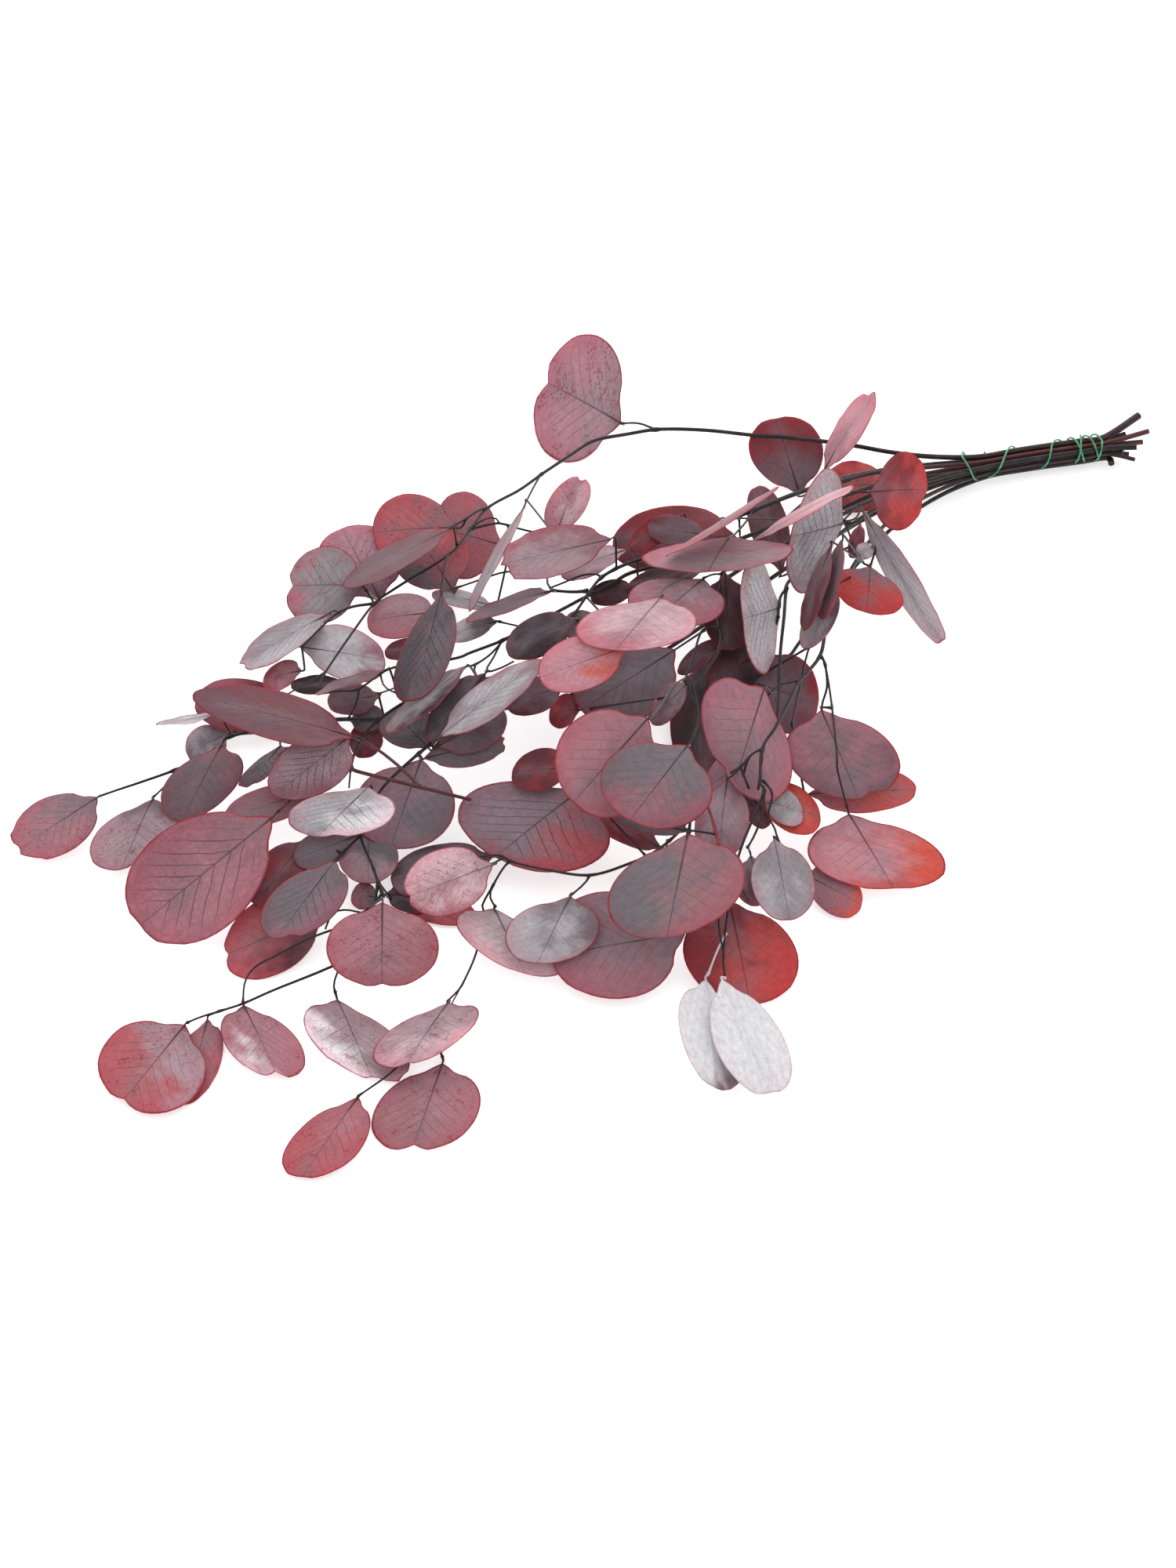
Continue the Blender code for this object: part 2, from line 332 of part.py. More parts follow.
def leaf_outline():
    """The rim in half widths and half lengths, from the neck's right side round the tip to its left side."""
    wedge = math.acos(1.0 / LEAF_BASE_WEDGE)
    rim = [(0.0, -LEAF_BASE_WEDGE)]
    for turn in OUTLINE_ANGLES + [-a for a in OUTLINE_ANGLES[3::-1]]:
        a = math.radians(turn)
        reach = 1.0 / math.cos(max(0.0, wedge - abs(a)))
        reach *= 1.0 - LEAF_NOTCH * math.exp(-((math.pi - abs(a)) / 0.3) ** 2)
        rim.append((reach * math.sin(a), -reach * math.cos(a)))
    return rim


def inside_outline(x, y):
    """Whether points given in half widths and half lengths lie on the leaf."""
    angle = np.arctan2(np.abs(x), -y)
    wedge = math.acos(1.0 / LEAF_BASE_WEDGE)
    reach = 1.0 / np.cos(np.maximum(0.0, wedge - angle))
    return np.hypot(x, y) <= reach


class Leaf:
    """One leaf's flat patch on the board and in depth."""

    def __init__(self, entry, index):
        self.node, neck, tip, across, self.height, facing, edge_rise, tip_rise = entry
        self.neck = np.array(neck, float)
        self.tip = np.array(tip, float)
        self.across = np.array(across, float)
        self.along = (self.tip - self.neck) / (LEAF_BASE_WEDGE + 1.0)
        self.centre = self.neck + self.along * LEAF_BASE_WEDGE
        self.level = facing == 0
        slope = -(1.0 - facing) / math.tan(VIEW_ELEVATION)
        self.near = nearness_at(self.centre[1], self.height)
        self.rise_x = slope * self.across[1] + edge_rise
        self.rise_y = slope * self.along[1] + tip_rise
        self.rise_x *= self.trim(self.across, self.rise_x, 0.5 * LONGEST_LEAF)
        self.rise_y *= self.trim(self.along, self.rise_y, LONGEST_LEAF / (LEAF_BASE_WEDGE + 1.0))
        rng = np.random.default_rng(100 + index)
        steep = abs(edge_rise) + abs(tip_rise) > 0
        self.arch = 0.0 if self.level else rng.uniform(0.6, 1.8) * (0.5 if steep else 1.0)
        self.cup = 0.0 if self.level else rng.uniform(-1.4, 1.0) * (0.3 if steep else 1.0)
        self.lift = 0.0
        self.patch()

    @staticmethod
    def trim(flat, rise, most):
        """The share of the rise that keeps a half width or half length within the largest leaf."""
        room = most * most - float(np.dot(flat, flat))
        if rise == 0 or rise * rise <= room:
            return 1.0
        return math.sqrt(max(room, 0.0)) / abs(rise)

    def patch(self):
        """Centre, half width and half length as vectors in space, and the normal towards the viewer."""
        points = []
        for x, y in ((0, 0), (1, 0), (0, 1)):
            u, v = self.centre + x * self.across + y * self.along
            near = self.near + x * self.rise_x + y * self.rise_y
            if self.level:
                near = nearness_at(v, self.height)
            points.append(spot(u, v, near))
        moved = spot(self.centre[0], self.centre[1], self.near + self.lift)
        points = [p + moved - points[0] for p in points]
        self.middle = points[0]
        self.half_width = points[1] - points[0]
        self.half_length = points[2] - points[0]
        normal = np.cross(self.half_width, self.half_length)
        normal = normal / np.linalg.norm(normal)
        self.normal = normal if np.dot(normal, TO_VIEWER) > 0 else -normal
        self.squareness = abs(float(np.dot(self.normal, TO_VIEWER)))

    def point(self, x, y):
        bend = self.arch * (1.0 - y * y) + self.cup * x * x
        return self.middle + x * self.half_width + y * self.half_length + self.normal * bend

    def nearness(self, u, v):
        """Local (x, y) of board points and the patch's nearness there, before the lift."""
        du, dv = u - self.centre[0], v - self.centre[1]
        det = self.across[0] * self.along[1] - self.across[1] * self.along[0]
        x = (du * self.along[1] - dv * self.along[0]) / det
        y = (dv * self.across[0] - du * self.across[1]) / det
        return x, y, self.near + x * self.rise_x + y * self.rise_y

    def depth_room(self):
        """Half of the room the leaf takes along the line of sight."""
        bend = 0.5 * (abs(self.arch) + abs(self.cup))
        return (0.5 * LEAF_THICKNESS + bend) / max(self.squareness, 0.25)

    def lowest(self):
        """The height of the lowest corner of the solid leaf."""
        drop = 0.5 * LEAF_THICKNESS * abs(float(self.normal[2]))
        return min(float(self.point(x, y)[2]) for x, y in leaf_outline()) - drop


def twig_samples(twig, run):
    """The board points, nearness, heights and radii along a twig's run, every 1.5 mm or so."""
    node, r_start, r_end, _ = twig
    run = np.array(run, float)
    length = np.concatenate([[0.0], np.cumsum(np.linalg.norm(run[1:] - run[:-1], axis=1))])
    at = np.linspace(0.0, length[-1], max(3, int(length[-1] / 1.5)))
    points = np.stack([np.interp(at, length, run[:, k]) for k in range(3)], axis=1) - BOARD_CENTRE
    near = points @ TO_VIEWER
    spread = EYE_DISTANCE / (EYE_DISTANCE - near)
    radius = np.interp(at, [0.0, length[-1]], [r_start, r_end])
    return node, points[:, 0] * spread, (points @ BOARD_V) * spread, near, points[:, 2] + BOARD_HEIGHT, radius


CELL = 1.5
GRID_U = np.arange(-312.0, 200.0, CELL)
GRID_V = np.arange(-220.0, 244.0, CELL)


def settle(leaves):
    """Moves the leaves along their lines of sight until all that overlap on the board are clear."""
    twigs = []
    started = set()
    for twig in TWIGS:
        run = traced(twig[3])
        if twig[0] not in started:
            started.add(twig[0])
            run = bundle_run(twig[0])[3:] + run
        twigs.append(twig_samples(twig, run))
    floor = np.full(len(leaves), -1e3)
    ceiling = np.full(len(leaves), 1e3)
    for i, leaf in enumerate(leaves):
        thin = min(float(np.linalg.norm(leaf.along)), float(np.linalg.norm(leaf.across)))
        for node, u, v, near, h, radius in twigs:
            x, y, mine = leaf.nearness(u, v)
            scale = 1.0 / (1.0 + 1.6 / thin) if node != leaf.node else 1.0
            hit = inside_outline(x * scale, y * scale)
            if node == leaf.node:
                hit = hit & (np.hypot(u - leaf.neck[0], v - leaf.neck[1]) > 13.0)
            if not hit.any():
                continue
            room = radius[hit] + leaf.depth_room() + 0.9
            if np.mean(h[hit]) > leaf.height:
                ceiling[i] = min(ceiling[i], float(np.min(near[hit] - mine[hit] - room)))
            else:
                floor[i] = max(floor[i], float(np.max(near[hit] - mine[hit] + room)))
        ground = -leaf.lowest() / math.sin(VIEW_ELEVATION)
        if floor[i] > ceiling[i]:
            middle = 0.5 * (floor[i] + ceiling[i])
            floor[i] = ceiling[i] = middle
        floor[i] = max(floor[i], ground)
        ceiling[i] = max(ceiling[i], floor[i])
    maps = []
    for leaf in leaves:
        reach_u = abs(leaf.across[0]) + abs(leaf.along[0]) * LEAF_BASE_WEDGE + 2
        reach_v = abs(leaf.across[1]) + abs(leaf.along[1]) * LEAF_BASE_WEDGE + 2
        i0, i1 = np.searchsorted(GRID_U, [leaf.centre[0] - reach_u, leaf.centre[0] + reach_u])
        j0, j1 = np.searchsorted(GRID_V, [leaf.centre[1] - reach_v, leaf.centre[1] + reach_v])
        uu, vv = np.meshgrid(GRID_U[i0:i1], GRID_V[j0:j1], indexing="ij")
        x, y, near = leaf.nearness(uu, vv)
        near = np.where(inside_outline(x * 0.97, y * 0.97), near, np.nan)
        maps.append((i0, i1, j0, j1, near))
    pairs = []
    for a in range(len(leaves)):
        for b in range(a + 1, len(leaves)):
            back, front = (a, b) if leaves[a].height <= leaves[b].height else (b, a)
            f, g = maps[front], maps[back]
            i0, i1, j0, j1 = max(f[0], g[0]), min(f[1], g[1]), max(f[2], g[2]), min(f[3], g[3])
            if i0 >= i1 or j0 >= j1:
                continue
            gap = f[4][i0 - f[0]:i1 - f[0], j0 - f[2]:j1 - f[2]] - g[4][i0 - g[0]:i1 - g[0], j0 - g[2]:j1 - g[2]]
            if not np.isfinite(gap).any():
                continue
            need = leaves[front].depth_room() + leaves[back].depth_room() + CLEARANCE * 0.5
            pairs.append((front, back, need - float(np.nanmin(gap))))
    lift = np.clip(np.zeros(len(leaves)), floor, ceiling)
    for _ in range(600):
        worst = 0.0
        for front, back, need in pairs:
            short = need - (lift[front] - lift[back])
            if short > 1e-3:
                lift[front] = min(max(lift[front] + 0.5 * short, floor[front]), ceiling[front])
                lift[back] = min(max(lift[back] - 0.5 * short, floor[back]), ceiling[back])
                worst = max(worst, short)
        if worst < 0.02:
            break
    for leaf, amount in zip(leaves, lift):
        leaf.lift = float(amount)
        leaf.patch()
        leaf.middle = leaf.middle - np.array([0.0, 0.0, min(0.0, leaf.lowest())])


def turned(p):
    """A point laid with the bunch's long axis along X, in metres."""
    c, s = math.cos(LONG_AXIS_TURN), math.sin(LONG_AXIS_TURN)
    return ((c * p[0] - s * p[1] - SHIFT_X) * 0.001, (s * p[0] + c * p[1] - SHIFT_Y) * 0.001, p[2] * 0.001)


def mesh_object(name, verts, faces):
    mesh = bpy.data.meshes.new(name)
    mesh.from_pydata([turned(v) for v in verts], [], faces)
    mesh.update()
    return bpy.data.objects.new(name, mesh)


def tube(name, points, radii, sides):
    """A closed tube with flat ends along the points. The radii are spread evenly along them."""
    points = [np.array(p, float) for p in points]
    verts, faces = [], []
    side = None
    count = len(points)
    for i, p in enumerate(points):
        ahead = points[min(i + 1, count - 1)] - points[max(i - 1, 0)]
        ahead = ahead / np.linalg.norm(ahead)
        if side is None:
            side = np.cross(ahead, (0.0, 0.0, 1.0) if abs(ahead[2]) < 0.9 else (1.0, 0.0, 0.0))
        side = side - ahead * np.dot(side, ahead)
        side = side / np.linalg.norm(side)
        other = np.cross(ahead, side)
        radius = float(np.interp(i / (count - 1), np.linspace(0.0, 1.0, len(radii)), radii))
        for k in range(sides):
            a = 2.0 * math.pi * (k + 0.5) / sides
            verts.append(p + radius * (math.cos(a) * side + math.sin(a) * other))
    for i in range(count - 1):
        for k in range(sides):
            a, b = i * sides + k, i * sides + (k + 1) % sides
            faces.append((a, b, b + sides))
            faces.append((a, b + sides, a + sides))
    for k in range(1, sides - 1):
        faces.append((0, k + 1, k))
        last = (count - 1) * sides
        faces.append((last, last + k, last + k + 1))
    return mesh_object(name, verts, faces)


def swung(vector, before, after):
    """A vector turned by the smallest turn that brings one direction onto another."""
    axis = np.cross(before, after)
    size = float(np.linalg.norm(axis))
    cosine = float(np.dot(before, after))
    if size < 1e-6:
        return vector
    axis = axis / size
    return vector * cosine + np.cross(axis, vector) * size + axis * np.dot(axis, vector) * (1.0 - cosine)


def stalk_start(leaf, neck, ahead, twigs):
    """The point on the stem's twigs that the leaf stalk grows from: the nearest, and not in front of the neck."""
    best = None
    for points in twigs:
        for a, b in zip(points[:-1], points[1:]):
            for k in range(9):
                q = a + (b - a) * (k / 8.0)
                cost = float(np.linalg.norm(q - neck)) + 1.5 * max(0.0, float(np.dot(q - neck, ahead)))
                if best is None or cost < best[0]:
                    best = (cost, q)
    return best[1]


def leaf_solid(name, leaf, twigs):
    """A leaf as one thin closed solid: wedge base, round sides, a notch at the tip and a three-sided stalk."""
    local = leaf_outline() + [(0.0, -0.4), (0.0, 0.35)]
    middle = [leaf.point(x, y) for x, y in local]
    up = leaf.normal * (0.5 * LEAF_THICKNESS)
    n = len(middle)
    neck = middle[0]
    ahead = middle[10] - neck
    ahead = ahead / np.linalg.norm(ahead)
    side = np.cross(ahead, leaf.normal)
    if np.dot(side, leaf.half_width) < 0:
        side = -side
    verts = [p + up for p in middle] + [p - up for p in middle]
    verts[0] = neck + up + side * STALK_RADIUS
    verts.append(neck + up - side * STALK_RADIUS)
    left = 2 * n
    top = [(0, 1, 10), (1, 2, 10), (2, 11, 10), (2, 3, 11), (3, 4, 11), (4, 5, 11),
           (0, 10, 9), (9, 10, 8), (8, 10, 11), (8, 11, 7), (7, 11, 6), (6, 11, 5)]
    faces = [(a + n, c + n, b + n) for a, b, c in top]
    top[6] = (left, 10, 9)
    faces += top + [(0, 10, left)]
    for i in range(9):
        faces.append((i, i + n, i + 1 + n))
        faces.append((i, i + 1 + n, i + 1))
    faces.append((9, 9 + n, n))
    faces.append((9, n, left))
    start = stalk_start(leaf, neck, ahead, twigs)
    away = float(np.linalg.norm(start - neck))
    if away < 0.9:
        stops = [start - ahead * 0.4]
    elif float(np.dot(neck - start, ahead)) > 0.6 * away:
        stops = [start]
    else:
        stops = [neck - ahead, start]
    ring = [0, left, n]
    offsets = [verts[k] - neck for k in ring]
    last = neck
    for k, stop in enumerate(stops):
        way = stop - last
        if k + 1 < len(stops):
            way = way / np.linalg.norm(way) + (stops[k + 1] - stop) / np.linalg.norm(stops[k + 1] - stop)
        way = way / np.linalg.norm(way)
        fresh = len(verts)
        fresh_ring = [stop + swung(off, -ahead, way) for off in offsets]
        verts += [np.array([p[0], p[1], max(p[2], 0.05)]) for p in fresh_ring]
        for j in range(3):
            a, b = ring[j], ring[(j + 1) % 3]
            c, d = fresh + (j + 1) % 3, fresh + j
            faces.append((a, b, c))
            faces.append((a, c, d))
        ring = [fresh, fresh + 1, fresh + 2]
        last = stop
    faces.append(tuple(ring))
    if np.dot(np.cross(leaf.half_width, leaf.half_length), leaf.normal) < 0:
        faces = [f[::-1] for f in faces]
    return mesh_object(name, verts, faces)


def material(name, colour, roughness):
    mat = bpy.data.materials.new(name)
    mat.use_nodes = True
    shader = mat.node_tree.nodes["Principled BSDF"]
    shader.inputs["Base Color"].default_value = (*colour, 1.0)
    shader.inputs["Roughness"].default_value = roughness
    return mat


def fused(stem, leaves):
    """One leafy stem: its run through the bundle, twigs, stalks and leaves in one union."""
    scene = bpy.context.scene
    lines = [t for t in TWIGS if t[0] == stem]
    runs = [traced(t[3]) for t in lines]
    whole = bundle_run(stem) + runs[0]
    cut_radius = CUT_END[stem][1]
    tie = tube(stem + "_tie", whole[:7], [cut_radius, lines[0][1]], 5)
    parts = bpy.data.collections.new(stem + "_parts")
    scene.collection.children.link(parts)
    scene.collection.objects.link(tie)
    first = [whole[5] + (whole[6] - whole[5]) * 0.6] + whole[6:]
    parts.objects.link(tube("twig", first, lines[0][1:3], 5))
    for line, points in zip(lines[1:], runs[1:]):
        sides = 4 if line[1] > 0.85 else 3
        parts.objects.link(tube("twig", points, line[1:3], sides))
    twig_runs = [whole[5:]] + runs[1:]
    for leaf in leaves:
        if leaf.node == stem:
            parts.objects.link(leaf_solid("leaf", leaf, twig_runs))
    union = tie.modifiers.new("union", "BOOLEAN")
    union.operation = "UNION"
    union.operand_type = "COLLECTION"
    union.collection = parts
    union.solver = "MANIFOLD"
    shape = bpy.data.meshes.new_from_object(tie.evaluated_get(bpy.context.evaluated_depsgraph_get()))
    shape.name = "stem_" + stem
    for piece in list(parts.objects):
        bpy.data.objects.remove(piece)
    bpy.data.collections.remove(parts)
    bpy.data.objects.remove(tie)
    node = bpy.data.objects.new("stem_" + stem, shape)
    scene.collection.objects.link(node)
    return node


def binding_wire():
    """The wire's turns round the bundle, close together at the cut ends and open towards the leaves."""
    us = [station[0] for station in BUNDLE][::-1]
    spreads = [station[3] for station in BUNDLE][::-1]
    middle = traced([station[:3] for station in BUNDLE])[::-1]
    points = []
    steps = 5
    for i in range(len(WIRE_HALF_TURNS) - 1):
        for k in range(steps):
            u = WIRE_HALF_TURNS[i] + (WIRE_HALF_TURNS[i + 1] - WIRE_HALF_TURNS[i]) * k / steps
            turn = math.pi * (i + k / steps) + math.radians(18)
            centre = np.array([np.interp(u, us, [m[c] for m in middle]) for c in range(3)])
            radius = WIRE_RING_RADIUS * float(np.interp(u, us, spreads))
            back = np.array([-0.15, 0.989, 0.0])
            points.append(centre + radius * (math.cos(turn) * back + math.sin(turn) * np.array([0.0, 0.0, 1.0])))
    node = tube("binding_wire", points, [WIRE_RADIUS, WIRE_RADIUS], 4)
    bpy.context.scene.collection.objects.link(node)
    return node


for old in list(bpy.data.objects):
    bpy.data.objects.remove(old)

ALL_LEAVES = [Leaf(entry, index) for index, entry in enumerate(LEAVES)]
settle(ALL_LEAVES)
for stem_name in PLACE:
    leafy = fused(stem_name, ALL_LEAVES)
    leafy.data.materials.clear()
    leafy.data.materials.append(material("leaf_" + stem_name, (0.36, 0.17, 0.19), 0.62))
wire = binding_wire()
wire.data.materials.append(material("wire", (0.1, 0.32, 0.2), 0.35))
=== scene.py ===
"""A bunch of preserved, dyed silver dollar eucalyptus stems, tied with green florist's wire and laid down.

The leaves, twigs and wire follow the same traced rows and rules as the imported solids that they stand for,
with finer shapes and with their dyes, veins and bark. Lengths in the rows are millimetres."""
import json
import math

import bpy
import numpy as np
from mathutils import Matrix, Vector

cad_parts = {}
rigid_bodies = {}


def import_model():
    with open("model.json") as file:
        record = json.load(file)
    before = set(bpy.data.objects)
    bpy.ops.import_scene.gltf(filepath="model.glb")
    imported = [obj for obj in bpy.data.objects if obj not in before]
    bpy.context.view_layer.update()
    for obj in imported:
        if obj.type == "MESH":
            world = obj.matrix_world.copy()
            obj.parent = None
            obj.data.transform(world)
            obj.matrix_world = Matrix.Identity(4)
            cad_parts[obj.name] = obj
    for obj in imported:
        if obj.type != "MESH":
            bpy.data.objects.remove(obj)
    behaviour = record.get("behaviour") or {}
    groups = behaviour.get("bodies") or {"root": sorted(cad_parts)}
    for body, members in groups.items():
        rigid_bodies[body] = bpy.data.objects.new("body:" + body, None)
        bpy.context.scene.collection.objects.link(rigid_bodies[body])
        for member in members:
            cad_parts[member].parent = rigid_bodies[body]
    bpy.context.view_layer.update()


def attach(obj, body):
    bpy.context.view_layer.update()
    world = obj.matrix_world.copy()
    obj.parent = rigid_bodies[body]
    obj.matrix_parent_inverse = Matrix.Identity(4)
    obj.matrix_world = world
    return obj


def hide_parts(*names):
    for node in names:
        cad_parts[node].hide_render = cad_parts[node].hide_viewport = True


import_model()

# The surface and the eye.
# The bunch lies on a plain pale surface, and the eye looks down on it at 48 degrees. Its stems were traced
# on a board, a plane that faces the eye through the middle of the bunch, with u to the right and v up.
EYE_ELEVATION = math.radians(48.0)
EYE_DISTANCE = 1900.0
BOARD_HEIGHT = 45.0
PICTURE_HEIGHT = 800.0
LONG_AXIS_TURN = math.radians(-42.0)
SHIFT_X = 77.13
SHIFT_Y = 41.9
MILLIMETRE = 0.001

# The surface, in metres.
FLOOR_SIDE = 14.0
FLOOR_DROP = 0.0004

BOARD_U = np.array([1.0, 0.0, 0.0])
BOARD_V = np.array([0.0, math.sin(EYE_ELEVATION), math.cos(EYE_ELEVATION)])
TO_EYE = np.array([0.0, -math.cos(EYE_ELEVATION), math.sin(EYE_ELEVATION)])
UP = np.array([0.0, 0.0, 1.0])
BOARD_CENTRE = BOARD_HEIGHT * UP


def spot(u, v, nearness):
    """The point on the line of sight through (u, v), that many millimetres nearer than the board."""
    on_board = BOARD_CENTRE + u * BOARD_U + v * BOARD_V
    eye = BOARD_CENTRE + EYE_DISTANCE * TO_EYE
    return on_board + (eye - on_board) * (nearness / EYE_DISTANCE)


def nearness_at(v, h):
    """How far from the board, towards the eye, the line of sight meets the height h."""
    climb = EYE_DISTANCE * math.sin(EYE_ELEVATION) - v * math.cos(EYE_ELEVATION)
    return EYE_DISTANCE * (h - BOARD_HEIGHT - v * math.cos(EYE_ELEVATION)) / climb


def traced(points):
    """Traced (u, v, h) points as points in space."""
    return [spot(u, v, nearness_at(v, h)) for u, v, h in points]


def swung_flat(vectors):
    """Vectors turned so that the bunch's long axis lies along X."""
    c, s = math.cos(LONG_AXIS_TURN), math.sin(LONG_AXIS_TURN)
    vectors = np.asarray(vectors, float)
    x, y, z = vectors[..., 0], vectors[..., 1], vectors[..., 2]
    return np.stack([c * x - s * y, s * x + c * y, z], axis=-1)


def laid(points):
    """Points of the board's frame in metres, with the origin under the middle of the bunch."""
    return (swung_flat(points) - np.array([SHIFT_X, SHIFT_Y, 0.0])) * MILLIMETRE


def shown(name, data):
    """An object in the scene, at the origin."""
    thing = bpy.data.objects.new(name, data)
    bpy.context.scene.collection.objects.link(thing)
    return thing


def feed(tree, node, *sources, **named):
    """Feeds a node's open inputs in order, and others by name, from a node, a socket or a plain value."""
    fed = list(zip([s for s in node.inputs if s.enabled], sources))
    for name, source in named.items():
        alike = [s for s in node.inputs if s.name == name.replace("_", " ")]
        fed.append((next((s for s in alike if s.enabled), alike[0]), source))
    for socket, source in fed:
        if isinstance(source, bpy.types.Node):
            source = next(s for s in source.outputs if s.enabled)
        if isinstance(source, bpy.types.NodeSocket):
            tree.links.new(source, socket)
        else:
            socket.default_value = source


def put(tree, kind, *sources, **named):
    """Adds a node and feeds it. A name that starts with a capital is an input's, any other a setting's."""
    node = tree.nodes.new(kind)
    for name, value in named.items():
        if name[0].islower():
            setattr(node, name, value)
    feed(tree, node, *sources, **{name: source for name, source in named.items() if name[0].isupper()})
    return node


def new_finish(name, **values):
    """A material and its tree, with plain values set on the shader's own sockets."""
    finish = bpy.data.materials.new(name)
    finish.use_nodes = True
    shader = finish.node_tree.nodes["Principled BSDF"]
    feed(finish.node_tree, shader, **values)
    return finish, finish.node_tree, shader


def dye(red, green, blue):
    """A colour given as it looks, from 0 to 255, as light values."""
    return [((c / 255.0 + 0.055) / 1.055) ** 2.4 if c > 10 else c / 255.0 / 12.92 for c in (red, green, blue)]


camera = shown("camera", bpy.data.cameras.new("camera"))
camera.data.sensor_fit = "VERTICAL"
camera.data.angle = 2.0 * math.atan(0.5 * PICTURE_HEIGHT / EYE_DISTANCE)
camera.data.clip_end = 20.0
camera.location = laid(BOARD_CENTRE + EYE_DISTANCE * TO_EYE)
towards = Vector(laid(BOARD_CENTRE)) - camera.location
camera.rotation_euler = towards.to_track_quat("-Z", "Y").to_euler()
bpy.context.scene.camera = camera

half = 0.5 * FLOOR_SIDE
ground = bpy.data.meshes.new("surface")
corners = [(-half, -half), (half, -half), (half, half), (-half, half)]
ground.from_pydata([(x, y, -FLOOR_DROP) for x, y in corners], [], [(0, 1, 2, 3)])
surface = shown("surface", ground)
paint = new_finish("pale surface", Base_Color=(0.9, 0.9, 0.905, 1.0), Roughness=0.8, Specular_IOR_Level=0.1,
                   Emission_Color=(1.0, 1.0, 1.0, 1.0), Emission_Strength=0.45)[0]
ground.materials.append(paint)

# The woody stems and twigs.
# Ten cut stems lie side by side in the tie and fork outside it into dark, shiny, wiry twigs. Each leaf grows
# on its own short stalk, which goes on into the blade as its midrib. A knuckle swells where two join.
# The bundle: stations along its middle, as (u, v, h, spread).
BUNDLE = [(264.0, 171.6, 9.65, 1.0), (250.0, 169.5, 9.65, 1.0), (222.0, 165.5, 9.65, 1.0),
          (200.0, 161.5, 11.0, 1.08), (172.0, 157.0, 14.5, 1.6), (150.0, 153.0, 19.0, 2.5)]

# Where a stem comes free of the tie, counted along its run.
TIE_END = 5

# Each stem's place in the bundle, as (back, up) from its middle.
PLACE = {"arch": (4.3, 3.7), "crown": (0.0, 3.7), "heart": (-4.3, 3.7),
         "mid": (5.5, 0.0), "low": (1.85, 0.0), "inner": (-1.85, 0.0), "right": (-5.5, 0.0),
         "left": (4.3, -3.7), "fan": (0.0, -3.7), "front": (-4.3, -3.7)}

# Each stem's cut end, as (u, v, h), and its radius there.
CUT_END = {"arch": ((281, 188, 15), 2.2), "crown": ((286, 180, 15), 1.5), "heart": ((280, 172, 15), 1.8),
           "mid": ((274, 178.5, 10), 1.6), "low": ((283, 174.5, 10.5), 1.5),
           "inner": ((273, 169.4, 10.9), 1.4), "right": ((279, 165.5, 11), 1.2),
           "left": ((268, 172, 6.5), 1.7), "fan": ((276, 168, 6), 1.6), "front": ((267, 163.5, 6), 1.9)}


def bundle_run(stem):
    """The stem's run from its cut end through the bundle."""
    back, up = PLACE[stem]
    middle = traced([station[:3] for station in BUNDLE])
    run = traced([CUT_END[stem][0]])
    for i, station in enumerate(BUNDLE):
        along = middle[min(i + 1, len(middle) - 1)] - middle[max(i - 1, 0)]
        across = np.array([along[1], -along[0], 0.0])
        across = across / np.linalg.norm(across)
        if across[1] < 0:
            across = -across
        spread = station[3]
        run.append(middle[i] + across * back * spread + np.array([0.0, 0.0, up * spread]))
    return run


